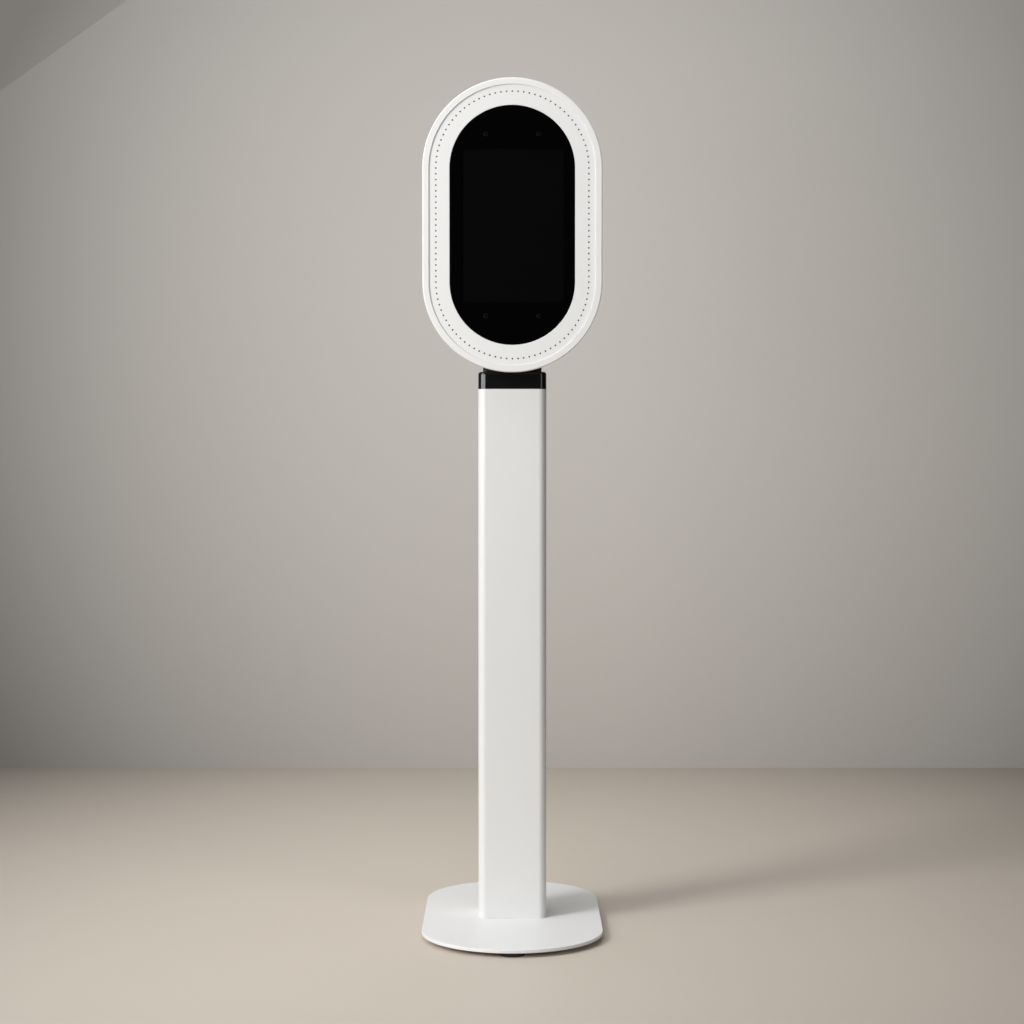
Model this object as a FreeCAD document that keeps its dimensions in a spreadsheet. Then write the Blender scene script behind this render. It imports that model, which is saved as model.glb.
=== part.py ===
import FreeCAD, Part
import Sketcher
import math
import os
import re

# A floor-standing photo booth: a weighted stadium-shaped foot, a square column and a
# stadium-shaped head with a tablet behind a black bezel and a ring of small lights.
# Millimetres. The front faces -Y, +X is to the right seen from the front, +Z is up.
# The origin is on the floor under the middle of the base plate.

DRIVING_SIZES = {
    # base
    "base_width": 320, "base_depth": 587, "base_thickness": 6, "base_edge": 1.2,
    "foot_height": 8, "foot_width": 46, "foot_inset": 30, "foot_along": 80, "foot_edge": 1.6,
    "foot_bore": 4.4, "foot_recess": 9.6, "foot_screw": 4, "foot_screw_head": 8,
    "foot_screw_rise": 2, "foot_screw_depth": 4, "base_bolt": 8, "base_bolt_head": 15,
    "base_bolt_across": 76, "base_bolt_along": 52, "base_bolt_short": 1,
    # shares of a screw head's height and of a shank that its drive socket takes
    "drive_depth": 0.6, "drive_width": 0.75,
    # clearances and overruns used throughout
    "fit_gap": 0.2, "bolt_gap": 0.4, "running_gap": 0.05, "side_gap": 0.1, "screw_overrun": 2,
    # column
    "column_width": 122.6, "column_depth": 96, "column_height": 955, "column_corner": 14,
    "column_wall": 4, "column_foot_height": 10, "column_bottom_edge": 0.8,
    "hatch_width": 84, "hatch_height": 240, "hatch_sill": 46, "hatch_lap": 6,
    "hatch_thickness": 2.5, "hatch_screw": 4, "hatch_screw_head": 7.5, "hatch_screw_across": 72,
    # mains inlet and switch
    "inlet_width": 27, "inlet_height": 20, "inlet_flange": 2, "inlet_rim": 3, "inlet_back": 4,
    "inlet_rise": 72, "flange_corner": 2, "socket_width": 24, "socket_height": 16.5,
    "socket_depth": 15, "pin_spread": 6, "pin_thickness": 2, "pin_height": 4, "pin_short": 3,
    "earth_pin_rise": 2.75, "switch_width": 21, "switch_height": 27, "switch_rim": 2,
    "switch_wall": 3, "switch_rise": 112, "rocker_play": 0.4, "rocker_angle": 8,
    "rocker_horn": 3.4, "rocker_dip": 2.2, "rocker_root": 2.4, "rocker_depth": 4.6,
    "rocker_taper": 1.2, "trunnion": 2, "trunnion_length": 1.2,
    # power supply
    "supply_width": 97, "supply_depth": 36, "supply_height": 160, "supply_rise": 60,
    "supply_front": 24, "supply_corner": 2, "supply_screw": 4, "supply_screw_depth": 4,
    "supply_screw_across": 73, "supply_screw_along": 130, "bracket_sheet": 2,
    "bracket_margin": 6, "bracket_foot": 24, "bracket_screw_across": 80,
    "bracket_screw_back": 14,
    # collar and neck
    "collar_height": 31, "collar_edge": 5, "collar_wall": 4, "collar_web": 8,
    "spigot_length": 88, "neck_width": 106, "neck_depth": 40, "neck_wall": 3, "neck_corner": 7,
    "neck_plunge": 118, "neck_bolt": 8, "neck_bolt_head": 14, "neck_bolt_rise": 4.4,
    "neck_bolt_across": 60, "neck_bolt_drop": 26, "neck_bolt_pitch": 42, "nut_width": 13,
    "nut_height": 6.5, "neck_window_side": 24, "neck_window_width": 30,
    "neck_window_height": 28,
    # tilt hinge
    "pivot_drop": 69, "pivot_diameter": 12, "pivot_head": 20, "pivot_head_rise": 6,
    "pivot_nut": 19.5, "washer_width": 30, "washer_thickness": 1.5, "ear_thickness": 4,
    "ear_radius": 16, "bracket_thickness": 4, "bracket_height": 84, "bracket_bolt": 6,
    "bracket_bolt_head": 10, "bracket_bolt_rise": 3.6, "bracket_bolt_across": 92,
    "bracket_bolt_along": 62, "clinch_height": 5.2,
    # head casing
    "head_width": 320, "head_height": 522, "head_overlap": 2, "head_gap": 4,
    "housing_depth": 23, "housing_wall": 3, "housing_back_edge": 2.4, "lip_width": 11.5,
    "lip_recess": 2, "lip_edge": 2, "lip_inner_edge": 0.5, "ledge_width": 4,
    "ledge_thickness": 3, "back_opening_inset": 42, "panel_thickness": 3, "panel_inset": 48.5,
    "panel_gap": 0.15, "ring_edge": 0.3, "bezel_edge": 0.6, "bezel_screw": 4,
    "bezel_screw_head": 8, "bezel_screw_across": 94, "bezel_screw_along": 322,
    # lights
    "light_inset": 24, "light_hole": 3, "end_lights": 43, "side_lights": 19,
    "light_width": 2.4, "light_height": 1, "light_board": 1.6, "light_board_gap": 1.5,
    "light_board_outer": 19, "light_board_inner": 33, "light_post": 6, "light_post_inset": 30,
    "light_post_rise": 50, "light_screw": 2.5, "light_screw_head": 4.5, "light_screw_rise": 1.2,
    # tablet
    "screen_width": 183, "screen_height": 274, "screen_corner": 2, "tablet_width": 201,
    "tablet_height": 292, "tablet_corner": 18, "tablet_glass": 0.9, "tablet_case": 5.5,
    "tablet_edge": 1.1, "tablet_gap": 1, "glass_gap": 0.2, "camera_rise": 4.5,
    "camera_window": 5, "camera_lens": 3.5, "lens_thickness": 0.4, "button_length": 14,
    "button_width": 2.4, "button_travel": 0.6, "button_stand": 0.9, "button_play": 0.15,
    "button_root": 1.2, "button_corner": 0.6, "port_width": 9,
    "port_height": 2.8, "port_depth": 7,
    # chassis and clamps
    "chassis_thickness": 2, "chassis_inset": 37, "ring_screw": 2.5, "ring_screw_inset": 42,
    "ring_screw_head": 4.8, "ring_screw_rise": 1.5, "ring_screw_depth": 2.1,
    "ring_screw_side": 40, "clamp_width": 24, "clamp_height": 200, "clamp_lip": 2.5,
    "clamp_pad": 1, "clamp_pad_length": 9, "clamp_pad_margin": 1, "clamp_reach": 10,
    "clamp_margin": 1, "clamp_stand": 2, "clamp_screw": 3, "clamp_screw_head": 5.4,
    "clamp_screw_rise": 1.8, "clamp_screw_bite": 1.6, "clamp_screw_side": 9,
    # spine and rear cover
    "spine_thickness": 3, "spine_width": 150, "spine_inset": 34, "spine_screw": 4,
    "spine_screw_head": 7.2, "spine_screw_inset": 38, "spine_window_width": 102,
    "spine_window_height": 95, "spine_window_corner": 10, "cable_hole": 20,
    "cable_hole_side": 34, "cable_hole_drop": 18, "spacer_width": 8, "spacer_bore": 8,
    "spacer_across": 120, "spacer_along": 330, "cover_inset": 30, "cover_depth": 38,
    "cover_wall": 2.5, "cover_edge": 12, "cover_screw": 3, "cover_screw_head": 5.7,
    "cover_screw_inset": 38, "cover_screw_seat": 3, "cover_counterbore": 6.6, "cover_boss": 9,
    "cover_boss_root": 4, "neck_gap": 6, "window_gap": 3, "vent_width": 84, "vent_height": 4,
    "vent_corner": 1.95, "vent_pitch": 9, "vent_count": 6, "vent_drop": 185,
    "upper_vent_count": 3, "upper_vent_rise": 184,
    # service door and lock
    "door_width": 150, "door_height": 110, "door_rise": 110, "door_lap": 5,
    "door_thickness": 2.5, "door_corner": 8, "door_hole_corner": 6, "hinge_radius": 3.2,
    "hinge_pin": 3, "hinge_stand": 3.5, "hinge_length": 40, "hinge_side": 84,
    "hinge_gap": 0.4, "hinge_bite": 0.6, "hinge_lift": 0.8, "lock_side": 60, "lock_width": 16,
    "lock_flange": 20, "lock_flange_rise": 2, "lock_plug": 12, "lock_plug_rise": 1.6,
    "key_slot_width": 1.6, "key_slot_height": 7.4, "cam_width": 10, "cam_length": 26,
    "cam_corner": 4.9, "cam_thickness": 2, "cam_gap": 0.5, "cam_rivet": 5,
    "cam_rivet_rise": 1,
    # electronics in the head
    "driver_width": 110, "driver_height": 64, "driver_drop": 150, "driver_stand": 8,
    "driver_board": 1.6, "driver_post": 6, "driver_catch": 4, "driver_post_across": 98,
    "driver_post_along": 52, "heat_sink_width": 34, "heat_sink_height": 28,
    "heat_sink_side": 18, "heat_sink_rise": 6, "choke_width": 24, "choke_height": 20,
    "choke_side": 22, "choke_drop": 8, "outlet_width": 16, "outlet_height": 14,
    "outlet_side": 26, "outlet_margin": 8, "part_height": 12,
    "supply_cable": 7, "head_cable": 6, "tablet_cable": 3.2, "coupler_width": 11,
    "coupler_length": 14, "coupler_gap": 0.3, "coupler_plug": 9.8, "plug_length": 16,
    "plug_width": 11, "plug_thickness": 3.4, "plug_nose": 6, "plug_nose_width": 8.4,
    "plug_nose_thickness": 2.4,
}

doc = FreeCAD.newDocument("photo_booth")
sheet = doc.addObject("Spreadsheet::Sheet", "Sizes")
for row, (alias, number) in enumerate(DRIVING_SIZES.items(), start=1):
    sheet.set(f"A{row}", alias)
    sheet.set(f"B{row}", str(number))
    sheet.setAlias(f"B{row}", alias)
doc.recompute()


def formula(text):
    """Turns bare size names into references to the sheet."""
    names = r"\b[a-z]+(?:_[a-z]+)*\b"
    return re.sub(names, lambda m: f"Sizes.{m[0]}" if m[0] in DRIVING_SIZES else m[0], text)


def value(text):
    return float(sheet.evalExpression(formula(text)))


def bind(thing, name, text):
    thing.setExpression(name, formula(text))


# Levels above the floor.
PLATE_TOP = "(foot_height + base_thickness)"
COLUMN_TOP = f"({PLATE_TOP} + column_height)"
COLLAR_TOP = f"({COLUMN_TOP} + collar_height)"
HEAD_BOTTOM = f"({COLLAR_TOP} - head_overlap)"
HEAD_MIDDLE = f"({HEAD_BOTTOM} + head_height / 2)"
PIVOT = f"({HEAD_MIDDLE} - pivot_drop)"
HATCH_BOTTOM = f"({PLATE_TOP} + hatch_sill)"
DOOR_MIDDLE = f"({HEAD_MIDDLE} + door_rise)"
DRIVER_MIDDLE = f"({HEAD_MIDDLE} - driver_drop)"

# Distances in front of the column's centre line, positive towards the front (-Y).
HOUSING_BACK = "(column_depth / 2 + head_gap)"
RIM_FRONT = f"({HOUSING_BACK} + housing_depth)"
FACE_FRONT = f"({RIM_FRONT} - lip_recess)"
FACE_BACK = f"({FACE_FRONT} - panel_thickness)"
CHASSIS_BACK = f"({FACE_BACK} - chassis_thickness)"
GLASS_FRONT = f"({FACE_BACK} - glass_gap)"
GLASS_BACK = f"({GLASS_FRONT} - tablet_glass)"
TABLET_BACK = f"({GLASS_BACK} - tablet_case)"
LIP_FRONT = f"({TABLET_BACK} - clamp_pad)"
WALL_FRONT = f"({HOUSING_BACK} + housing_wall)"
LIGHT_BOARD_FRONT = f"({FACE_BACK} - light_board_gap)"
LIGHT_BOARD_BACK = f"({LIGHT_BOARD_FRONT} - light_board)"
SPINE_BACK = f"({HOUSING_BACK} - spine_thickness)"
BRACKET_BACK = f"({SPINE_BACK} - bracket_thickness)"
COVER_BACK = f"({HOUSING_BACK} - cover_depth)"
COVER_INNER = f"({COVER_BACK} + cover_wall)"
NECK_FRONT = f"({COVER_BACK} - neck_gap)"
NECK_AXIS = f"({NECK_FRONT} - neck_depth / 2)"
NECK_BACK = f"({NECK_FRONT} - neck_depth)"
COLUMN_BACK = "(-column_depth / 2)"

# ---------------------------------------------------------------- drawing helpers


def new_body(label):
    body = doc.addObject("PartDesign::Body", label)
    body.Label = label
    return body


def sketch_on(body, plane, offset="0"):
    """A sketch on one of the body's own origin planes, moved along the plane's normal.

    XY faces up, XZ faces the front (so offsets are distances in front) and YZ faces right.
    """
    sketch = body.newObject("Sketcher::SketchObject", f"{body.Label}_sketch")
    origin_plane = [p for p in body.Origin.OriginFeatures if p.Role == f"{plane}_Plane"][0]
    sketch.AttachmentSupport = [(origin_plane, "")]
    sketch.MapMode = "FlatFace"
    bind(sketch, "AttachmentOffset.Base.z", offset)
    return sketch


def fix_point(sketch, item, point, across, up):
    for kind, text, axis in (("DistanceX", across, -2), ("DistanceY", up, -1)):
        if text == "0":
            sketch.addConstraint(Sketcher.Constraint("PointOnObject", item, point, axis))
        else:
            number = sketch.addConstraint(
                Sketcher.Constraint(kind, -1, 1, item, point, value(text)))
            bind(sketch, f"Constraints[{number}]", text)


def circle(sketch, across, up, diameter):
    centre = FreeCAD.Vector(value(across), value(up), 0)
    shape = Part.Circle(centre, FreeCAD.Vector(0, 0, 1), value(diameter) / 2)
    item = sketch.addGeometry(shape)
    fix_point(sketch, item, 3, across, up)
    number = sketch.addConstraint(Sketcher.Constraint("Diameter", item, value(diameter)))
    bind(sketch, f"Constraints[{number}]", diameter)


def outline(sketch, points):
    """A closed polygon whose corners are pairs of formulas."""
    corners = [FreeCAD.Vector(value(x), value(y), 0) for x, y in points]
    items = []
    for start, end in zip(corners, corners[1:] + corners[:1]):
        items.append(sketch.addGeometry(Part.LineSegment(start, end)))
    for item, following in zip(items, items[1:] + items[:1]):
        sketch.addConstraint(Sketcher.Constraint("Coincident", item, 2, following, 1))
    for item, (x, y) in zip(items, points):
        fix_point(sketch, item, 1, x, y)


def rectangle(sketch, across, up, width, height):
    left, right = f"{across} - ({width}) / 2", f"{across} + ({width}) / 2"
    low, top = f"{up} - ({height}) / 2", f"{up} + ({height}) / 2"
    outline(sketch, [(left, low), (right, low), (right, top), (left, top)])


def rounded_rectangle(sketch, across, up, width, height, corner):
    """Straight sides joined by four quarter circles."""
    radius = value(corner)
    middle_x, middle_y = value(across), value(up)
    half_x, half_y = value(f"({width}) / 2") - radius, value(f"({height}) / 2") - radius
    arcs = []
    for quarter, (side_x, side_y) in enumerate(((1, 1), (-1, 1), (-1, -1), (1, -1))):
        centre = FreeCAD.Vector(middle_x + side_x * half_x, middle_y + side_y * half_y, 0)
        round_corner = Part.Circle(centre, FreeCAD.Vector(0, 0, 1), radius)
        start = quarter * math.pi / 2
        arc = Part.ArcOfCircle(round_corner, start, start + math.pi / 2)
        arcs.append((sketch.addGeometry(arc), arc, side_x, side_y))
    for (item, arc, _, _), (following, next_arc, _, _) in zip(arcs, arcs[1:] + arcs[:1]):
        side = sketch.addGeometry(Part.LineSegment(arc.EndPoint, next_arc.StartPoint))
        sketch.addConstraint(Sketcher.Constraint("Tangent", item, 2, side, 1))
        sketch.addConstraint(Sketcher.Constraint("Tangent", side, 2, following, 1))
    for item, _, side_x, side_y in arcs:
        fix_point(sketch, item, 3, f"{across} + {side_x} * (({width}) / 2 - ({corner}))",
                  f"{up} + {side_y} * (({height}) / 2 - ({corner}))")
        number = sketch.addConstraint(Sketcher.Constraint("Radius", item, radius))
        bind(sketch, f"Constraints[{number}]", corner)


def stadium(sketch, up, width, height):
    """Two half circles joined by straight sides, centred on the sketch's vertical axis."""
    radius = value(width) / 2
    middle = value(up)
    rise = (value(height) - value(width)) / 2
    normal = FreeCAD.Vector(0, 0, 1)
    top_end = Part.Circle(FreeCAD.Vector(0, middle + rise, 0), normal, radius)
    low_end = Part.Circle(FreeCAD.Vector(0, middle - rise, 0), normal, radius)
    top = sketch.addGeometry(Part.ArcOfCircle(top_end, 0, math.pi))
    low = sketch.addGeometry(Part.ArcOfCircle(low_end, math.pi, 2 * math.pi))
    for x, low_point, top_point in ((-radius, 1, 2), (radius, 2, 1)):
        side = sketch.addGeometry(Part.LineSegment(
            FreeCAD.Vector(x, middle - rise, 0), FreeCAD.Vector(x, middle + rise, 0)))
        sketch.addConstraint(Sketcher.Constraint("Tangent", low, low_point, side, 1))
        sketch.addConstraint(Sketcher.Constraint("Tangent", top, top_point, side, 2))
    fix_point(sketch, top, 3, "0", f"{up} + (({height}) - ({width})) / 2")
    fix_point(sketch, low, 3, "0", f"{up} - (({height}) - ({width})) / 2")
    for arc in (top, low):
        number = sketch.addConstraint(Sketcher.Constraint("Radius", arc, radius))
        bind(sketch, f"Constraints[{number}]", f"({width}) / 2")


def inset_stadium(sketch, inset):
    """The head's outline moved inwards by the inset."""
    stadium(sketch, HEAD_MIDDLE, f"(head_width - 2 * ({inset}))", f"(head_height - 2 * ({inset}))")


# ---------------------------------------------------------------- solid helpers


def feature(body, kind, sketch, length, reverse=False, taper=0):
    item = body.newObject(f"PartDesign::{kind}", f"{body.Label}_{kind.lower()}")
    item.Profile = sketch
    bind(item, "Length", length)
    item.Reversed = reverse
    if taper:
        item.TaperAngle = taper
    return item


def pad(body, sketch, length, reverse=False, taper=0):
    """Adds material along the sketch's normal, or against it when reversed."""
    return feature(body, "Pad", sketch, length, reverse, taper)


def pocket(body, sketch, length, reverse=False, taper=0):
    """Cuts against the sketch's normal, or along it when reversed."""
    return feature(body, "Pocket", sketch, length, reverse, taper)


def dress(body, kind, size_name, size, chosen):
    """Rounds or bevels the edges that the test picks out."""
    doc.recompute()
    base = body.Tip
    edges = [f"Edge{number}" for number, edge in enumerate(base.Shape.Edges, start=1)
             if chosen(edge.BoundBox)]
    item = body.newObject(f"PartDesign::{kind}", f"{body.Label}_{kind.lower()}")
    item.Base = (base, edges)
    bind(item, size_name, size)
    return item


def fillet(body, radius, chosen):
    return dress(body, "Fillet", "Radius", radius, chosen)


def chamfer(body, size, chosen):
    return dress(body, "Chamfer", "Size", size, chosen)


def upright(box):
    return box.XLength < 0.01 and box.YLength < 0.01 and box.ZLength > 0.01


def forward(box):
    return box.XLength < 0.01 and box.ZLength < 0.01 and box.YLength > 0.01


def at_height(level, shortest=0):
    """Edges lying in a horizontal plane."""
    height = value(level)
    return lambda box: (box.ZLength < 0.01 and abs(box.ZMin - height) < 0.01
                        and max(box.XLength, box.YLength) > shortest)


def at_front(distance, shortest=0):
    """Edges lying in a plane that faces the front, at this distance in front."""
    depth = -value(distance)
    return lambda box: (box.YLength < 0.01 and abs(box.YMin - depth) < 0.01
                        and max(box.XLength, box.ZLength) > shortest)


def prism(body, plane, offset, length, draw, *arguments):
    """A pad of one simple outline."""
    sketch = sketch_on(body, plane, offset)
    draw(sketch, *arguments)
    return pad(body, sketch, length)


def cut(body, plane, offset, length, draw, *arguments):
    """A pocket of one simple outline."""
    sketch = sketch_on(body, plane, offset)
    draw(sketch, *arguments)
    return pocket(body, sketch, length)


def circles(sketch, points, diameter):
    for across, up in points:
        circle(sketch, across, up, diameter)


def drill(body, plane, offset, length, points, diameter, reverse=False, taper=0):
    sketch = sketch_on(body, plane, offset)
    circles(sketch, points, diameter)
    return pocket(body, sketch, length, reverse, taper)


def raise_round(body, plane, offset, length, points, diameter, reverse=False, taper=0):
    sketch = sketch_on(body, plane, offset)
    circles(sketch, points, diameter)
    return pad(body, sketch, length, reverse, taper)


def add_screws(body, plane, seat, points, head, head_height, shank, length, flip=False):
    """Like screws, whose shanks run from the seat along the plane's normal unless flipped."""
    raise_round(body, plane, seat, length, points, shank, reverse=flip)
    raise_round(body, plane, seat, head_height, points, head, reverse=not flip)
    side = "+" if flip else "-"
    drill(body, plane, f"{seat} {side} {head_height}", f"{head_height} * drive_depth", points,
          f"{shank} * drive_width", reverse=not flip)


def screws(label, *arguments, flip=False):
    body = new_body(label)
    add_screws(body, *arguments, flip=flip)
    return body


def four_corners(across, along, middle="0"):
    """Formulas of the corners of a rectangle that is centred across and at the given middle."""
    return [(f"{x} * ({across}) / 2", f"{middle} + {y} * ({along}) / 2")
            for x in (-1, 1) for y in (-1, 1)]


def on_end(inset, angles):
    """Points on the round ends of an inset head outline, at angles above the horizontal."""
    points = []
    for end in (1, -1):
        for angle in angles:
            across, up = math.cos(math.radians(angle)), end * math.sin(math.radians(angle))
            radius = f"(head_width / 2 - {inset})"
            points.append((f"{radius} * {across:.6f}",
                           f"{HEAD_MIDDLE} + {end} * (head_height - head_width) / 2"
                           f" + {radius} * {up:.6f}"))
    return points


def on_sides(inset, rise):
    return [(f"{x} * (head_width / 2 - {inset})", f"{HEAD_MIDDLE} + {z} * ({rise})")
            for x in (-1, 1) for z in (-1, 1)]


def repeat_round_path(body, kind, front, length, draw):
    """Repeats a small pad or pocket along the whole light path.

    Each round end is a polar pattern and each straight side is a linear one.
    """
    radius = "(head_width / 2 - light_inset)"
    straight = "(head_height - head_width)"
    for end in (1, -1):
        sketch = sketch_on(body, "XZ", front)
        bind(sketch, "AttachmentOffset.Base.y", f"{HEAD_MIDDLE} + {end} * {straight} / 2")
        draw(sketch, f"{end} * {radius}", "0")
        original = feature(body, kind, sketch, length)
        pattern = body.newObject("PartDesign::PolarPattern", f"{body.Label}_end")
        pattern.Originals = [original]
        pattern.Axis = (sketch, ["N_Axis"])
        pattern.Angle = 180
        bind(pattern, "Occurrences", "end_lights")
        body.Tip = pattern
    for side in (1, -1):
        sketch = sketch_on(body, "XZ", front)
        bind(sketch, "AttachmentOffset.Base.y", HEAD_MIDDLE)
        pitch = f"({straight} / (side_lights + 1))"
        draw(sketch, f"{side} * {radius}", f"-{straight} / 2 + {pitch}")
        original = feature(body, kind, sketch, length)
        pattern = body.newObject("PartDesign::LinearPattern", f"{body.Label}_side")
        pattern.Originals = [original]
        pattern.Direction = (sketch, ["V_Axis"])
        bind(pattern, "Length", f"{straight} - 2 * {pitch}")
        bind(pattern, "Occurrences", "side_lights")
        body.Tip = pattern


def repeat_upwards(body, original, sketch, length, count):
    pattern = body.newObject("PartDesign::LinearPattern", f"{body.Label}_row")
    pattern.Originals = [original]
    pattern.Direction = (sketch, ["V_Axis"])
    bind(pattern, "Length", length)
    bind(pattern, "Occurrences", count)
    body.Tip = pattern


def cable_solid(corners, thickness, radius):
    """A round cable along straight runs joined by arcs. Corners are across, front, height."""
    points = [FreeCAD.Vector(value(x), -value(front), value(z)) for x, front, z in corners]
    edges = []
    at = points[0]
    for before, corner, after in zip(points, points[1:], points[2:]):
        arriving = (corner - before).normalize()
        leaving = (after - corner).normalize()
        half_turn = arriving.getAngle(leaving) / 2
        start = corner - arriving * (radius * math.tan(half_turn))
        end = corner + leaving * (radius * math.tan(half_turn))
        bulge = radius / math.cos(half_turn) - radius
        middle = corner + (leaving - arriving).normalize() * bulge
        edges.append(Part.LineSegment(at, start).toShape())
        edges.append(Part.Arc(start, middle, end).toShape())
        at = end
    edges.append(Part.LineSegment(at, points[-1]).toShape())
    section = Part.Wire(Part.makeCircle(thickness / 2, points[0], points[1] - points[0]))
    return Part.Wire(edges).makePipeShell([section], True, False)


def cable(label, corners, diameter, bend, *more_corners):
    """One cable, or several alike, as one sub-part."""
    solids = [cable_solid(route, value(diameter), value(bend)) for route in (corners, *more_corners)]
    item = doc.addObject("Part::Feature", label)
    item.Label = label
    item.Shape = solids[0] if len(solids) == 1 else Part.makeCompound(solids)
    item.Placement = FreeCAD.Placement()
    return item


# ---------------------------------------------------------------- base

FOOT_POINTS = [
    ("0", "-(base_depth / 2 - foot_inset)"), ("0", "base_depth / 2 - foot_inset"),
    ("-(base_width / 2 - foot_inset)", "-foot_along"),
    ("-(base_width / 2 - foot_inset)", "foot_along"),
    ("base_width / 2 - foot_inset", "-foot_along"),
    ("base_width / 2 - foot_inset", "foot_along"),
]
BASE_BOLT_POINTS = four_corners("base_bolt_across", "base_bolt_along")

base_plate = new_body("base_plate")
prism(base_plate, "XY", "foot_height", "base_thickness", stadium, "0", "base_width", "base_depth")
fillet(base_plate, "base_edge", lambda box: box.ZLength < 0.01)
drill(base_plate, "XY", PLATE_TOP, "base_thickness", BASE_BOLT_POINTS, "base_bolt")
drill(base_plate, "XY", "foot_height", "(base_bolt_head - base_bolt) / 2", BASE_BOLT_POINTS,
      "base_bolt_head", reverse=True, taper=-45)
drill(base_plate, "XY", "foot_height", "foot_screw_depth", FOOT_POINTS, "foot_screw", reverse=True)

rubber_feet = new_body("rubber_feet")
raise_round(rubber_feet, "XY", "0", "foot_height", FOOT_POINTS, "foot_width")
fillet(rubber_feet, "foot_edge", at_height("0"))
drill(rubber_feet, "XY", "foot_height", "foot_height", FOOT_POINTS, "foot_bore")
drill(rubber_feet, "XY", "0", "foot_height / 2", FOOT_POINTS, "foot_recess", reverse=True)

screws("foot_screws", "XY", "foot_height / 2", FOOT_POINTS, "foot_screw_head", "foot_screw_rise",
       "foot_screw", "foot_height / 2 + foot_screw_depth")

column_foot = new_body("column_foot")
prism(column_foot, "XY", PLATE_TOP, "column_foot_height", rounded_rectangle, "0", "0",
      "column_width - 2 * column_wall", "column_depth - 2 * column_wall",
      "column_corner - column_wall")
drill(column_foot, "XY", f"{PLATE_TOP} + column_foot_height", "column_foot_height",
      BASE_BOLT_POINTS, "base_bolt")

base_bolts = new_body("base_bolts")
raise_round(base_bolts, "XY", "foot_height", "base_thickness + column_foot_height - base_bolt_short",
            BASE_BOLT_POINTS, "base_bolt")
raise_round(base_bolts, "XY", "foot_height", "(base_bolt_head - base_bolt) / 2", BASE_BOLT_POINTS,
            "base_bolt_head", taper=-45)
drill(base_bolts, "XY", "foot_height", "base_thickness / 2", BASE_BOLT_POINTS, "base_bolt * drive_width",
      reverse=True)

# ---------------------------------------------------------------- column

HATCH_MIDDLE = f"({HATCH_BOTTOM} + hatch_height / 2)"
HATCH_SCREW_POINTS = four_corners("hatch_screw_across", "hatch_height + 2 * hatch_lap", HATCH_MIDDLE)
NECK_BOLT_POINTS = four_corners("neck_bolt_across", "neck_bolt_pitch",
                                f"{COLUMN_TOP} - neck_bolt_drop - neck_bolt_pitch / 2")

column_tube = new_body("column_tube")
prism(column_tube, "XY", PLATE_TOP, "column_height", rounded_rectangle, "0", "0",
      "column_width", "column_depth", "column_corner")
fillet(column_tube, "column_bottom_edge", at_height(PLATE_TOP))
cut(column_tube, "XY", COLUMN_TOP, "column_height", rounded_rectangle, "0", "0",
    "column_width - 2 * column_wall", "column_depth - 2 * column_wall",
    "column_corner - column_wall")
cut(column_tube, "XZ", "0", "column_depth", rectangle, "0", HATCH_MIDDLE, "hatch_width",
    "hatch_height")
drill(column_tube, "XZ", "0", "column_depth", HATCH_SCREW_POINTS, "hatch_screw")
drill(column_tube, "XZ", "0", "column_depth", NECK_BOLT_POINTS, "neck_bolt + bolt_gap")

hatch_cover = new_body("hatch_cover")
prism(hatch_cover, "XZ", f"{COLUMN_BACK} - hatch_thickness", "hatch_thickness",
      rounded_rectangle, "0", HATCH_MIDDLE, "hatch_width + 2 * hatch_lap",
      "hatch_height + 4 * hatch_lap", "hatch_lap")
drill(hatch_cover, "XZ", COLUMN_BACK, "hatch_thickness", HATCH_SCREW_POINTS, "hatch_screw + bolt_gap")
cut(hatch_cover, "XZ", COLUMN_BACK, "hatch_thickness", rectangle, "0",
    f"{HATCH_BOTTOM} + inlet_rise", "inlet_width", "inlet_height")
cut(hatch_cover, "XZ", COLUMN_BACK, "hatch_thickness", rectangle, "0",
    f"{HATCH_BOTTOM} + switch_rise", "switch_width", "switch_height")

screws("hatch_screws", "XZ", f"{COLUMN_BACK} - hatch_thickness", HATCH_SCREW_POINTS,
       "hatch_screw_head", "hatch_screw / 2", "hatch_screw",
       "hatch_thickness + column_wall + screw_overrun")

# The mains inlet and the power switch snap into the hatch cover from behind.
HATCH_BACK = f"({COLUMN_BACK} - hatch_thickness)"
INLET_HEIGHT = f"({HATCH_BOTTOM} + inlet_rise)"
SWITCH_HEIGHT = f"({HATCH_BOTTOM} + switch_rise)"
INLET_BODY = "(socket_depth + inlet_back)"
PIN_POINTS = [("-pin_spread", INLET_HEIGHT), ("pin_spread", INLET_HEIGHT),
              ("0", f"{INLET_HEIGHT} + earth_pin_rise")]

mains_inlet = new_body("mains_inlet")
prism(mains_inlet, "XZ", HATCH_BACK, INLET_BODY, rectangle, "0", INLET_HEIGHT,
      "inlet_width - fit_gap", "inlet_height - fit_gap")
prism(mains_inlet, "XZ", f"{HATCH_BACK} - inlet_flange", "inlet_flange", rectangle, "0",
      INLET_HEIGHT, "inlet_width + 2 * inlet_rim", "inlet_height + 2 * inlet_rim")
fillet(mains_inlet, "flange_corner", forward)
socket = sketch_on(mains_inlet, "XZ", f"{HATCH_BACK} - inlet_flange")
rectangle(socket, "0", INLET_HEIGHT, "socket_width", "socket_height")
pocket(mains_inlet, socket, "socket_depth + inlet_flange", reverse=True)

inlet_pins = new_body("inlet_pins")
pin_sketch = sketch_on(inlet_pins, "XZ", f"{HATCH_BACK} + socket_depth")
for pin_across, pin_height in PIN_POINTS:
    rectangle(pin_sketch, pin_across, pin_height, "pin_thickness", "pin_height")
pad(inlet_pins, pin_sketch, "socket_depth - pin_short", reverse=True)

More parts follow.
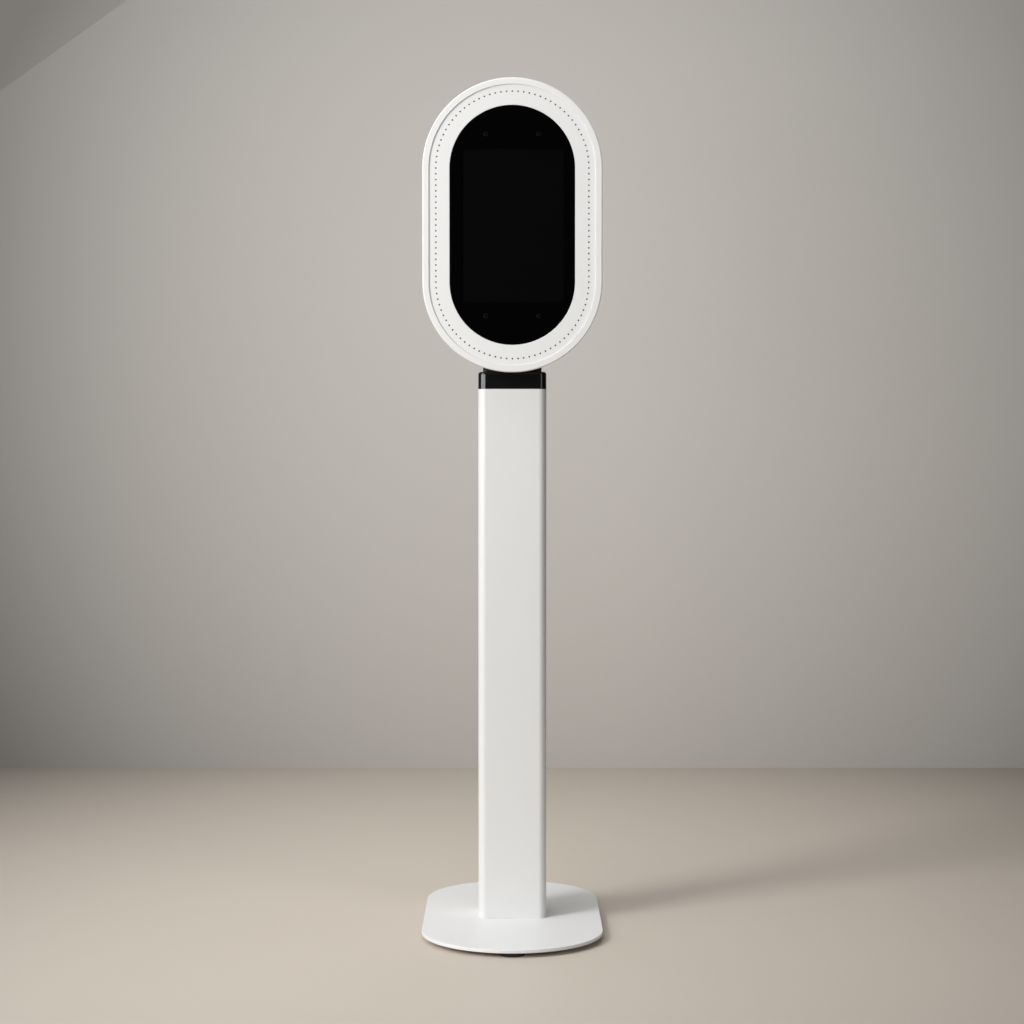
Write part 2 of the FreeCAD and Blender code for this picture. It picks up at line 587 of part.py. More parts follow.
power_switch = new_body("power_switch")
prism(power_switch, "XZ", HATCH_BACK, "socket_depth", rectangle, "0", SWITCH_HEIGHT,
      "switch_width - fit_gap", "switch_height - fit_gap")
prism(power_switch, "XZ", f"{HATCH_BACK} - inlet_flange", "inlet_flange", rectangle, "0",
      SWITCH_HEIGHT, "switch_width + 2 * switch_rim", "switch_height + 2 * switch_rim")
fillet(power_switch, "flange_corner", forward)
rocker_well = sketch_on(power_switch, "XZ", f"{HATCH_BACK} - inlet_flange")
rectangle(rocker_well, "0", SWITCH_HEIGHT, "switch_width - 2 * switch_wall",
          "switch_height - 2 * switch_wall")
pocket(power_switch, rocker_well, "socket_depth", reverse=True)
ROCKER_AXIS = [(f"-{HATCH_BACK} + inlet_flange / 2 - rocker_dip", SWITCH_HEIGHT)]
TRUNNION_END = "(switch_width / 2 - switch_wall + trunnion_length)"
drill(power_switch, "YZ", f"{TRUNNION_END} + fit_gap", f"2 * ({TRUNNION_END} + fit_gap)",
      ROCKER_AXIS, "trunnion + 2 * running_gap")

# The rocker is drawn about its own pivot and leans to the off side at rest.
power_rocker = new_body("power_rocker")
rocker_width = "(switch_width - 2 * switch_wall - 2 * rocker_play)"
rocker_half = "(switch_height / 2 - switch_wall - 3 * rocker_play)"
rocker_sketch = sketch_on(power_rocker, "YZ", f"-{rocker_width} / 2")
outline(rocker_sketch, [("-rocker_horn", f"-{rocker_half}"), ("-rocker_dip", "0"),
                        ("-rocker_horn", rocker_half),
                        ("rocker_root", f"{rocker_half} - rocker_taper"), ("rocker_depth", "0"),
                        ("rocker_root", f"-{rocker_half} + rocker_taper")])
pad(power_rocker, rocker_sketch, rocker_width)
prism(power_rocker, "YZ", f"-{TRUNNION_END}", f"2 * {TRUNNION_END}", circle, "0", "0", "trunnion")
mirror_turn = FreeCAD.Rotation(FreeCAD.Vector(0, 0, 1), 180)
lean = FreeCAD.Rotation(FreeCAD.Vector(1, 0, 0), value("rocker_angle"))
power_rocker.Placement.Rotation = lean.multiply(mirror_turn)
bind(power_rocker, "Placement.Base.y", ROCKER_AXIS[0][0])
bind(power_rocker, "Placement.Base.z", SWITCH_HEIGHT)

# The power supply stands on the column's foot.
SUPPLY_FRONT = "supply_front"
SUPPLY_MIDDLE = f"({PLATE_TOP} + column_foot_height + supply_rise + supply_height / 2)"
SUPPLY_SCREW_POINTS = four_corners("supply_screw_across", "supply_screw_along", SUPPLY_MIDDLE)
BRACKET_TOP = f"({SUPPLY_MIDDLE} + supply_height / 2 + bracket_margin)"
FOOT_TOP = f"({PLATE_TOP} + column_foot_height)"

supply_bracket = new_body("supply_bracket")
prism(supply_bracket, "XZ", SUPPLY_FRONT, "bracket_sheet", rectangle, "0",
      f"({FOOT_TOP} + {BRACKET_TOP}) / 2", "supply_width", f"{BRACKET_TOP} - {FOOT_TOP}")
prism(supply_bracket, "XY", FOOT_TOP, "bracket_sheet", rectangle, "0",
      f"-{SUPPLY_FRONT} + bracket_foot / 2", "supply_width", "bracket_foot")
drill(supply_bracket, "XZ", f"{SUPPLY_FRONT} + bracket_sheet", "bracket_sheet",
      SUPPLY_SCREW_POINTS, "supply_screw")
BRACKET_SCREW_POINTS = [(f"{side} * bracket_screw_across / 2",
                         f"-{SUPPLY_FRONT} + bracket_screw_back")
                        for side in (-1, 1)]
drill(supply_bracket, "XY", f"{FOOT_TOP} + bracket_sheet", "bracket_sheet",
      BRACKET_SCREW_POINTS, "supply_screw")
drill(column_foot, "XY", FOOT_TOP, "column_foot_height / 2", BRACKET_SCREW_POINTS, "supply_screw")

power_supply = new_body("power_supply")
prism(power_supply, "XZ", f"{SUPPLY_FRONT} - supply_depth", "supply_depth", rectangle, "0",
      SUPPLY_MIDDLE, "supply_width", "supply_height")
fillet(power_supply, "supply_corner", forward)
drill(power_supply, "XZ", SUPPLY_FRONT, "supply_screw_depth", SUPPLY_SCREW_POINTS,
      "supply_screw")
supply_screws = screws("supply_screws", "XZ", f"{SUPPLY_FRONT} + bracket_sheet",
                       SUPPLY_SCREW_POINTS, "hatch_screw_head", "supply_screw / 2",
                       "supply_screw", "bracket_sheet + supply_screw_depth",
                       flip=True)
add_screws(supply_screws, "XY", f"{FOOT_TOP} + bracket_sheet", BRACKET_SCREW_POINTS,
           "hatch_screw_head", "supply_screw / 2", "supply_screw",
           "bracket_sheet + column_foot_height / 2", flip=True)

SUPPLY_BOTTOM = f"({SUPPLY_MIDDLE} - supply_height / 2)"
SUPPLY_AXIS = f"({SUPPLY_FRONT} - supply_depth / 2)"
INLET_REAR = f"({HATCH_BACK} + {INLET_BODY})"
SWITCH_REAR = f"({HATCH_BACK} + socket_depth)"
cable("mains_leads",
      [("0", INLET_REAR, INLET_HEIGHT), ("0", f"{INLET_REAR} + 16", INLET_HEIGHT),
       ("0", f"{INLET_REAR} + 16", f"{FOOT_TOP} + 22"),
       ("-22", SUPPLY_AXIS, f"{FOOT_TOP} + 22"), ("-22", SUPPLY_AXIS, SUPPLY_BOTTOM)],
      "head_cable", "head_cable * 1.4",
      [("-4", SWITCH_REAR, SWITCH_HEIGHT), ("-4", f"{SWITCH_REAR} + 14", SWITCH_HEIGHT),
       ("-40", f"{SWITCH_REAR} + 14", f"{FOOT_TOP} + 30"),
       ("-40", SUPPLY_AXIS, f"{FOOT_TOP} + 30"), ("-40", SUPPLY_AXIS, SUPPLY_BOTTOM)])

# ---------------------------------------------------------------- collar and neck

NECK_MIDDLE = f"(-{NECK_AXIS})"
NECK_BOTTOM = f"({COLUMN_TOP} - neck_plunge)"
SPIGOT_BOTTOM = f"({COLUMN_TOP} - spigot_length)"

collar = new_body("collar")
prism(collar, "XY", COLUMN_TOP, "collar_height", rounded_rectangle, "0", "0", "column_width",
      "column_depth", "column_corner")
fillet(collar, "collar_edge", at_height(COLLAR_TOP))
prism(collar, "XY", SPIGOT_BOTTOM, "spigot_length", rounded_rectangle, "0", "0",
      "column_width - 2 * column_wall - 2 * fit_gap", "column_depth - 2 * column_wall - 2 * fit_gap",
      "column_corner - column_wall")
cut(collar, "XY", COLLAR_TOP, "collar_height + spigot_length", rounded_rectangle, "0", NECK_MIDDLE,
    "neck_width + fit_gap", "neck_depth + fit_gap", "neck_corner")
drill(collar, "XZ", "0", "column_depth", NECK_BOLT_POINTS, "neck_bolt + bolt_gap")
HOLLOW_FRONT = "(column_depth / 2 - column_wall - collar_wall)"
HOLLOW_BACK = f"({NECK_FRONT} + collar_wall)"
spigot_hollow = sketch_on(collar, "XY", SPIGOT_BOTTOM)
rectangle(spigot_hollow, "0", f"-({HOLLOW_FRONT} + {HOLLOW_BACK}) / 2",
          "column_width - 2 * column_wall - 2 * collar_web", f"{HOLLOW_FRONT} - {HOLLOW_BACK}")
pocket(collar, spigot_hollow, "spigot_length + collar_height / 2", reverse=True)

neck_post = new_body("neck_post")
neck_side = sketch_on(neck_post, "YZ", "-neck_width / 2")
rectangle(neck_side, NECK_MIDDLE, f"({NECK_BOTTOM} + {PIVOT}) / 2", "neck_depth",
          f"{PIVOT} - {NECK_BOTTOM}")
pad(neck_post, neck_side, "neck_width")
prism(neck_post, "YZ", "-neck_width / 2", "neck_width", circle, NECK_MIDDLE, PIVOT, "neck_depth")
fillet(neck_post, "neck_corner", upright)
neck_bore = sketch_on(neck_post, "YZ", "neck_width / 2 - neck_wall")
rectangle(neck_bore, NECK_MIDDLE, f"({NECK_BOTTOM} + {PIVOT}) / 2", "neck_depth - 2 * neck_wall",
          f"{PIVOT} - {NECK_BOTTOM}")
pocket(neck_post, neck_bore, "neck_width - 2 * neck_wall")
cut(neck_post, "YZ", "neck_width / 2 - neck_wall", "neck_width - 2 * neck_wall", circle,
    NECK_MIDDLE, PIVOT, "neck_depth - 2 * neck_wall")
drill(neck_post, "YZ", "neck_width / 2", "neck_width", [(NECK_MIDDLE, PIVOT)], "pivot_diameter")
drill(neck_post, "XZ", f"{NECK_BACK} + neck_wall", "neck_wall", NECK_BOLT_POINTS, "neck_bolt + bolt_gap")
cut(neck_post, "XZ", NECK_FRONT, "2 * neck_wall", rectangle, "neck_window_side", PIVOT,
    "neck_window_width", "neck_window_height")

NUT_SEAT = f"({NECK_BACK} + neck_wall)"
screws("neck_bolts", "XZ", COLUMN_BACK, NECK_BOLT_POINTS, "neck_bolt_head", "neck_bolt_rise",
       "neck_bolt", f"{NUT_SEAT} - {COLUMN_BACK} + nut_height + screw_overrun")
neck_nuts = new_body("neck_nuts")
nut_sketch = sketch_on(neck_nuts, "XZ", NUT_SEAT)
for nut_across, nut_level in NECK_BOLT_POINTS:
    rectangle(nut_sketch, nut_across, nut_level, "nut_width", "nut_width")
pad(neck_nuts, nut_sketch, "nut_height")
drill(neck_nuts, "XZ", f"{NUT_SEAT} + nut_height", "nut_height", NECK_BOLT_POINTS, "neck_bolt")

# ---------------------------------------------------------------- tilt hinge

EAR_INNER = "(neck_width / 2 + washer_thickness + side_gap)"
EAR_OUTER = f"({EAR_INNER} + ear_thickness)"
PIVOT_POINT = [(NECK_MIDDLE, PIVOT)]
BRACKET_BOLT_POINTS = four_corners("bracket_bolt_across", "bracket_bolt_along", PIVOT)

tilt_bracket = new_body("tilt_bracket")
prism(tilt_bracket, "XZ", BRACKET_BACK, "bracket_thickness", rectangle, "0", PIVOT,
      f"2 * {EAR_OUTER}", "bracket_height")
for ear_start in (EAR_INNER, f"-{EAR_OUTER}"):
    prism(tilt_bracket, "YZ", ear_start, "ear_thickness", rectangle,
          f"({NECK_MIDDLE} - {BRACKET_BACK}) / 2", PIVOT, f"{NECK_MIDDLE} + {BRACKET_BACK}",
          "2 * ear_radius")
    prism(tilt_bracket, "YZ", ear_start, "ear_thickness", circle, NECK_MIDDLE, PIVOT,
          "2 * ear_radius")
drill(tilt_bracket, "YZ", EAR_OUTER, f"2 * {EAR_OUTER}", PIVOT_POINT,
      "pivot_diameter + 2 * running_gap")
drill(tilt_bracket, "XZ", SPINE_BACK, "bracket_thickness", BRACKET_BOLT_POINTS, "bracket_bolt")

PIVOT_END = "(neck_width / 2 - neck_wall - nut_height - screw_overrun)"
pivot_bolts = new_body("pivot_bolts")
friction_washers = new_body("friction_washers")
pivot_nuts = new_body("pivot_nuts")
for side in (1, -1):
    facing_left = side < 0
    bolt_head_seat = f"{side} * ({EAR_OUTER} + side_gap)"
    raise_round(pivot_bolts, "YZ", f"{side} * {PIVOT_END}",
                f"{EAR_OUTER} + side_gap - {PIVOT_END}", PIVOT_POINT, "pivot_diameter", facing_left)
    raise_round(pivot_bolts, "YZ", bolt_head_seat, "pivot_head_rise", PIVOT_POINT,
                "pivot_head", facing_left)
    raise_round(friction_washers, "YZ", f"{side} * neck_width / 2", "washer_thickness",
                PIVOT_POINT, "washer_width", facing_left)
    nut = sketch_on(pivot_nuts, "YZ", f"{side} * (neck_width / 2 - neck_wall)")
    rectangle(nut, NECK_MIDDLE, PIVOT, "pivot_nut", "pivot_nut")
    pad(pivot_nuts, nut, "nut_height", reverse=not facing_left)
drill(friction_washers, "YZ", "neck_width", "2 * neck_width", PIVOT_POINT, "pivot_diameter")
drill(pivot_nuts, "YZ", "neck_width", "2 * neck_width", PIVOT_POINT, "pivot_diameter")
for side in (1, -1):
    drill(pivot_bolts, "YZ", f"{side} * ({EAR_OUTER} + side_gap + pivot_head_rise)",
          "pivot_head_rise * drive_depth", PIVOT_POINT, "pivot_diameter * drive_width",
          reverse=side < 0)

screws("bracket_bolts", "XZ", BRACKET_BACK, BRACKET_BOLT_POINTS,
       "bracket_bolt_head", "bracket_bolt_rise", "bracket_bolt",
       "bracket_thickness + spine_thickness + clinch_height")


# ---------------------------------------------------------------- head casing

COVER_SCREW_POINTS = on_end("cover_screw_inset", (35, 145)) + [
    (f"{side} * (head_width / 2 - cover_screw_inset)", HEAD_MIDDLE) for side in (-1, 1)]
SPINE_SCREW_POINTS = on_end("spine_screw_inset", (65, 90, 115))
LIGHT_POST_POINTS = on_end("light_post_inset", (45, 135)) + on_sides("light_post_inset",
                                                                       "light_post_rise")
RING_SCREW_POINTS = on_end("ring_screw_inset", (60, 120)) + on_sides("ring_screw_inset",
                                                                        "ring_screw_side")
SPACER_POINTS = four_corners("spacer_across", "spacer_along", HEAD_MIDDLE)
BEZEL_SCREW_POINTS = four_corners("bezel_screw_across", "bezel_screw_along", HEAD_MIDDLE)
CLAMP_SCREW_ACROSS = "(tablet_width / 2 + tablet_gap + clamp_screw_side)"
CLAMP_SCREW_POINTS = four_corners(f"2 * {CLAMP_SCREW_ACROSS}", "clamp_height", HEAD_MIDDLE)

head_housing = new_body("head_housing")
prism(head_housing, "XZ", HOUSING_BACK, "housing_depth", inset_stadium, "0")
cut(head_housing, "XZ", RIM_FRONT, "lip_recess + panel_thickness", inset_stadium, "lip_width")
cut(head_housing, "XZ", FACE_BACK, "ledge_thickness", inset_stadium, "lip_width + ledge_width")
cut(head_housing, "XZ", f"{FACE_BACK} - ledge_thickness",
    f"{FACE_BACK} - ledge_thickness - {WALL_FRONT}", inset_stadium, "housing_wall")
cut(head_housing, "XZ", WALL_FRONT, "housing_wall", inset_stadium, "back_opening_inset")
head_half = value("head_width / 2")
fillet(head_housing, "lip_edge",
       lambda box: at_front(RIM_FRONT)(box) and max(abs(box.XMin), box.XMax) > head_half - 0.01)
fillet(head_housing, "housing_back_edge",
       lambda box: at_front(HOUSING_BACK)(box) and max(abs(box.XMin), box.XMax) > head_half - 0.01)
lip_half = value("head_width / 2 - lip_width")
fillet(head_housing, "lip_inner_edge",
       lambda box: at_front(RIM_FRONT)(box) and max(abs(box.XMin), box.XMax) < lip_half + 0.01)
drill(head_housing, "XZ", WALL_FRONT, "housing_wall", COVER_SCREW_POINTS, "cover_screw")
drill(head_housing, "XZ", WALL_FRONT, "housing_wall", SPINE_SCREW_POINTS, "spine_screw")
raise_round(head_housing, "XZ", WALL_FRONT, f"{LIGHT_BOARD_BACK} - {WALL_FRONT}",
            LIGHT_POST_POINTS, "light_post")
drill(head_housing, "XZ", LIGHT_BOARD_BACK, f"{LIGHT_BOARD_BACK} - {HOUSING_BACK}",
      LIGHT_POST_POINTS, "light_screw")

face_ring = new_body("face_ring")
prism(face_ring, "XZ", FACE_BACK, "panel_thickness", inset_stadium, "lip_width + panel_gap")
cut(face_ring, "XZ", FACE_FRONT, "panel_thickness", inset_stadium, "panel_inset - panel_gap")
chamfer(face_ring, "ring_edge", at_front(FACE_FRONT))
repeat_round_path(face_ring, "Pocket", FACE_FRONT, "panel_thickness",
                  lambda sketch, x, y: circle(sketch, x, y, "light_hole"))
drill(face_ring, "XZ", FACE_BACK, "ring_screw_depth", RING_SCREW_POINTS, "ring_screw",
      reverse=True)

bezel = new_body("bezel")
prism(bezel, "XZ", FACE_BACK, "panel_thickness", inset_stadium, "panel_inset + panel_gap")
chamfer(bezel, "bezel_edge", at_front(FACE_FRONT))
cut(bezel, "XZ", FACE_FRONT, "panel_thickness", rounded_rectangle, "0", HEAD_MIDDLE,
    "screen_width", "screen_height", "screen_corner")
drill(bezel, "XZ", FACE_FRONT, "panel_thickness", BEZEL_SCREW_POINTS, "bezel_screw + fit_gap")
drill(bezel, "XZ", FACE_FRONT, "(bezel_screw_head - bezel_screw) / 2", BEZEL_SCREW_POINTS,
      "bezel_screw_head", taper=-45)
CAMERA_HEIGHT = f"({HEAD_MIDDLE} + screen_height / 2 + camera_rise)"
drill(bezel, "XZ", FACE_FRONT, "panel_thickness", [("0", CAMERA_HEIGHT)], "camera_window")

bezel_screws = new_body("bezel_screws")
raise_round(bezel_screws, "XZ", FACE_FRONT, "panel_thickness + chassis_thickness + screw_overrun",
            BEZEL_SCREW_POINTS, "bezel_screw", reverse=True)
raise_round(bezel_screws, "XZ", FACE_FRONT, "(bezel_screw_head - bezel_screw) / 2",
            BEZEL_SCREW_POINTS, "bezel_screw_head", reverse=True, taper=-45)
drill(bezel_screws, "XZ", FACE_FRONT, "panel_thickness * drive_depth", BEZEL_SCREW_POINTS,
      "bezel_screw * drive_width")

# ---------------------------------------------------------------- ring of lights

light_board = new_body("light_board")
prism(light_board, "XZ", LIGHT_BOARD_BACK, "light_board", inset_stadium, "light_board_outer")
cut(light_board, "XZ", LIGHT_BOARD_FRONT, "light_board", inset_stadium, "light_board_inner")
drill(light_board, "XZ", LIGHT_BOARD_FRONT, "light_board", LIGHT_POST_POINTS, "light_screw")

ring_lights = new_body("ring_lights")
repeat_round_path(ring_lights, "Pad", LIGHT_BOARD_FRONT, "light_height",
                  lambda sketch, x, y: rectangle(sketch, x, y, "light_width", "light_width"))

screws("light_screws", "XZ", LIGHT_BOARD_FRONT, LIGHT_POST_POINTS, "light_screw_head",
       "light_screw_rise", "light_screw", f"{LIGHT_BOARD_FRONT} - {WALL_FRONT} + screw_overrun",
       flip=True)

# ---------------------------------------------------------------- tablet and its chassis

TABLET_TOP = f"({HEAD_MIDDLE} + tablet_height / 2)"
TABLET_AXIS = f"(({GLASS_BACK} + {TABLET_BACK}) / 2)"
BUTTON_ACROSS = "(tablet_width / 2 - tablet_corner - button_length)"

display_chassis = new_body("display_chassis")
prism(display_chassis, "XZ", CHASSIS_BACK, "chassis_thickness", inset_stadium, "chassis_inset")
cut(display_chassis, "XZ", FACE_BACK, "chassis_thickness", rounded_rectangle, "0", HEAD_MIDDLE,
    "tablet_width + 2 * tablet_gap", "tablet_height + 2 * tablet_gap",
    "tablet_corner + tablet_gap")
drill(display_chassis, "XZ", FACE_BACK, "chassis_thickness", BEZEL_SCREW_POINTS, "bezel_screw")
drill(display_chassis, "XZ", FACE_BACK, "chassis_thickness", RING_SCREW_POINTS, "ring_screw")
drill(display_chassis, "XZ", FACE_BACK, "chassis_thickness", CLAMP_SCREW_POINTS, "clamp_screw")
screws("ring_screws", "XZ", CHASSIS_BACK, RING_SCREW_POINTS, "ring_screw_head",
       "ring_screw_rise", "ring_screw", "chassis_thickness + ring_screw_depth")

tablet_case = new_body("tablet_case")
prism(tablet_case, "XZ", TABLET_BACK, "tablet_case", rounded_rectangle, "0", HEAD_MIDDLE,
      "tablet_width", "tablet_height", "tablet_corner")
fillet(tablet_case, "tablet_edge", at_front(TABLET_BACK))
button_well = sketch_on(tablet_case, "XY", TABLET_TOP)
rectangle(button_well, BUTTON_ACROSS, f"-{TABLET_AXIS}", "button_length + 2 * button_play",
          "button_width + 2 * button_play")
pocket(tablet_case, button_well, "button_root + 2 * button_travel")
port = sketch_on(tablet_case, "XY", f"{HEAD_MIDDLE} - tablet_height / 2")
rectangle(port, "0", f"-{TABLET_AXIS}", "port_width", "port_height")
pocket(tablet_case, port, "port_depth", reverse=True)

tablet_glass = new_body("tablet_glass")
prism(tablet_glass, "XZ", GLASS_BACK, "tablet_glass", rounded_rectangle, "0", HEAD_MIDDLE,
      "tablet_width", "tablet_height", "tablet_corner")
drill(tablet_glass, "XZ", GLASS_FRONT, "tablet_glass / 2", [("0", CAMERA_HEIGHT)],
      "camera_lens")
camera_lens = new_body("camera_lens")
raise_round(camera_lens, "XZ", f"{GLASS_FRONT} - tablet_glass / 2", "lens_thickness",
            [("0", CAMERA_HEIGHT)], "camera_lens")

tablet_button = new_body("tablet_button")
prism(tablet_button, "XY", f"{TABLET_TOP} - button_root",
      "button_root + button_stand", rectangle, BUTTON_ACROSS, f"-{TABLET_AXIS}",
      "button_length", "button_width")
fillet(tablet_button, "button_corner", upright)

CLAMP_INNER = "(tablet_width / 2 - clamp_reach)"
CLAMP_OUTER = "(head_width / 2 - back_opening_inset - clamp_margin)"
CLAMP_FOOT = "(tablet_width / 2 + tablet_gap + clamp_stand)"
CLAMP_MIDDLES = [(side, f"{HEAD_MIDDLE} + {end} * clamp_height / 2")
                 for side in (-1, 1) for end in (-1, 1)]
tablet_clamps = new_body("tablet_clamps")
lips = sketch_on(tablet_clamps, "XZ", f"{LIP_FRONT} - clamp_lip")
feet = sketch_on(tablet_clamps, "XZ", LIP_FRONT)
for side, middle in CLAMP_MIDDLES:
    rectangle(lips, f"{side} * ({CLAMP_INNER} + {CLAMP_OUTER}) / 2", middle,
              f"{CLAMP_OUTER} - {CLAMP_INNER}", "clamp_width")
    rectangle(feet, f"{side} * ({CLAMP_FOOT} + {CLAMP_OUTER}) / 2", middle,
              f"{CLAMP_OUTER} - {CLAMP_FOOT}", "clamp_width")
pad(tablet_clamps, lips, "clamp_lip")
pad(tablet_clamps, feet, f"{CHASSIS_BACK} - {LIP_FRONT}")
drill(tablet_clamps, "XZ", CHASSIS_BACK, "housing_depth", CLAMP_SCREW_POINTS, "clamp_screw")
screws("clamp_screws", "XZ", f"{LIP_FRONT} - clamp_lip", CLAMP_SCREW_POINTS, "clamp_screw_head",
       "clamp_screw_rise", "clamp_screw",
       f"{CHASSIS_BACK} - {LIP_FRONT} + clamp_lip + clamp_screw_bite")
clamp_pads = new_body("clamp_pads")
pads_sketch = sketch_on(clamp_pads, "XZ", LIP_FRONT)
for side, middle in CLAMP_MIDDLES:
    rectangle(pads_sketch, f"{side} * ({CLAMP_INNER} + clamp_pad_length / 2)", middle,
              "clamp_pad_length", "clamp_width - 2 * clamp_pad_margin")
pad(clamp_pads, pads_sketch, "clamp_pad")

# ---------------------------------------------------------------- spine

CABLE_HOLE = ("cable_hole_side", f"{DRIVER_MIDDLE} - driver_height / 2 - cable_hole_drop")
spine_plate = new_body("spine_plate")
prism(spine_plate, "XZ", SPINE_BACK, "spine_thickness", inset_stadium, "spine_inset")
for side in (-1, 1):
    cut(spine_plate, "XZ", HOUSING_BACK, "spine_thickness", rectangle,
        f"{side} * (spine_width / 2 + head_width / 4)", HEAD_MIDDLE, "head_width / 2",
        "head_height")
drill(spine_plate, "XZ", HOUSING_BACK, "spine_thickness", SPINE_SCREW_POINTS, "spine_screw + bolt_gap")
raise_round(spine_plate, "XZ", HOUSING_BACK, "clinch_height", BRACKET_BOLT_POINTS,
            "bracket_bolt_head")
drill(spine_plate, "XZ", f"{HOUSING_BACK} + clinch_height", "clinch_height + spine_thickness",
      BRACKET_BOLT_POINTS, "bracket_bolt")
drill(spine_plate, "XZ", HOUSING_BACK, "spine_thickness", SPACER_POINTS, "spine_screw")
drill(spine_plate, "XZ", HOUSING_BACK, "spine_thickness", [CABLE_HOLE], "cable_hole")
cut(spine_plate, "XZ", HOUSING_BACK, "spine_thickness", rounded_rectangle, "0", DOOR_MIDDLE,
    "spine_window_width", "spine_window_height", "spine_window_corner")
DRIVER_POST_POINTS = four_corners("driver_post_across", "driver_post_along", DRIVER_MIDDLE)
drill(spine_plate, "XZ", HOUSING_BACK, "spine_thickness", DRIVER_POST_POINTS, "light_screw")
screws("spine_screws", "XZ", SPINE_BACK, SPINE_SCREW_POINTS + SPACER_POINTS,
       "spine_screw_head", "spine_screw / 2", "spine_screw",
       "spine_thickness + housing_wall + screw_overrun")

chassis_spacers = new_body("chassis_spacers")
raise_round(chassis_spacers, "XZ", HOUSING_BACK, f"{CHASSIS_BACK} - {HOUSING_BACK}",
            SPACER_POINTS, "spacer_width")
drill(chassis_spacers, "XZ", f"{HOUSING_BACK} + spacer_bore", "spacer_bore", SPACER_POINTS,
      "spine_screw")
# ---------------------------------------------------------------- rear cover

rear_cover = new_body("rear_cover")
prism(rear_cover, "XZ", COVER_BACK, "cover_depth", inset_stadium, "cover_inset")
fillet(rear_cover, "cover_edge", at_front(COVER_BACK))
doc.recompute()
cover_block = rear_cover.Tip
open_face = [f"Face{number}" for number, face in enumerate(cover_block.Shape.Faces, start=1)
             if abs(face.BoundBox.YMax + value(HOUSING_BACK)) < 0.01]
cover_shell = rear_cover.newObject("PartDesign::Thickness", "rear_cover_shell")
cover_shell.Base = (cover_block, open_face)
bind(cover_shell, "Value", "cover_wall")
cover_shell.Reversed = True
raise_round(rear_cover, "XZ", f"{COVER_BACK} + cover_boss_root",
            "cover_depth - cover_boss_root", COVER_SCREW_POINTS, "cover_boss")
drill(rear_cover, "XZ", HOUSING_BACK, "cover_depth", COVER_SCREW_POINTS, "cover_screw + bolt_gap")
COVER_SEAT = f"({HOUSING_BACK} - cover_screw_seat)"
drill(rear_cover, "XZ", COVER_SEAT, "cover_depth", COVER_SCREW_POINTS, "cover_counterbore")
cut(rear_cover, "XZ", COVER_INNER, "cover_wall", rounded_rectangle, "0", PIVOT,
    f"2 * ({EAR_OUTER} + window_gap)", "2 * (ear_radius + window_gap)", "window_gap")
cut(rear_cover, "XZ", COVER_INNER, "cover_wall", rounded_rectangle, "0", DOOR_MIDDLE,
    "door_width", "door_height", "door_hole_corner")
for first_vent, vents in ((f"{HEAD_MIDDLE} - vent_drop", "vent_count"),
                          (f"{HEAD_MIDDLE} + upper_vent_rise", "upper_vent_count")):
    vent_sketch = sketch_on(rear_cover, "XZ", COVER_INNER)
    rounded_rectangle(vent_sketch, "0", first_vent, "vent_width", "vent_height",
                      "vent_corner")
    vent = pocket(rear_cover, vent_sketch, "cover_wall")
    repeat_upwards(rear_cover, vent, vent_sketch, f"vent_pitch * ({vents} - 1)", vents)

# Cover hinge leaves stand on the outer face, above and below the door's own knuckle.
HINGE_FRONT = f"({COVER_BACK} - hinge_stand)"
HINGE_AT = [("-hinge_side", f"-{HINGE_FRONT}")]
LEAF_SPAN = "(hinge_length / 2)"
for start in (f"{DOOR_MIDDLE} + hinge_length / 2 + hinge_gap",
              f"{DOOR_MIDDLE} - hinge_length / 2 - hinge_gap - {LEAF_SPAN}"):
    raise_round(rear_cover, "XY", start, LEAF_SPAN, HINGE_AT, "2 * hinge_radius")
    prism(rear_cover, "XY", start, LEAF_SPAN, rectangle, "-hinge_side",
          f"-({HINGE_FRONT} + {COVER_BACK} + hinge_bite) / 2",
          "2 * hinge_radius - hinge_bite", f"{COVER_BACK} + hinge_bite - {HINGE_FRONT}")
drill(rear_cover, "XY", f"{DOOR_MIDDLE} + hinge_length + hinge_gap",
      "2 * (hinge_length + hinge_gap)", HINGE_AT, "hinge_pin")
screws("cover_screws", "XZ", COVER_SEAT, COVER_SCREW_POINTS, "cover_screw_head", "cover_screw",
       "cover_screw", "cover_screw_seat + housing_wall + screw_overrun")

door_pin = new_body("door_pin")
raise_round(door_pin, "XY", f"{DOOR_MIDDLE} - hinge_length - hinge_gap",
            "2 * hinge_length + 2 * hinge_gap", HINGE_AT, "hinge_pin")

# ---------------------------------------------------------------- service door and lock

DOOR_FRONT = f"({COVER_BACK} - door_thickness)"
LOCK_AT = [("lock_side", DOOR_MIDDLE)]
CAM_BACK = f"({COVER_INNER} + cam_gap)"

service_door = new_body("service_door")
prism(service_door, "XZ", DOOR_FRONT, "door_thickness", rounded_rectangle, "0", DOOR_MIDDLE,
      "door_width + 2 * door_lap", "door_height + 2 * door_lap", "door_corner")
raise_round(service_door, "XY", f"{DOOR_MIDDLE} - hinge_length / 2", "hinge_length", HINGE_AT,
            "2 * hinge_radius")
WEB_OUTER = "(hinge_side + hinge_radius / 2)"
WEB_INNER = "(door_width / 2 + door_lap - hinge_bite)"
prism(service_door, "XY", f"{DOOR_MIDDLE} - hinge_length / 2", "hinge_length", rectangle,
      f"-({WEB_OUTER} + {WEB_INNER}) / 2", f"-({HINGE_FRONT} + {COVER_BACK} - hinge_lift) / 2",
      f"{WEB_OUTER} - {WEB_INNER}", "hinge_stand - hinge_lift")
drill(service_door, "XY", f"{DOOR_MIDDLE} + hinge_length", "2 * hinge_length", HINGE_AT,
      "hinge_pin + 2 * running_gap")
drill(service_door, "XZ", COVER_BACK, "door_thickness", LOCK_AT, "lock_width")

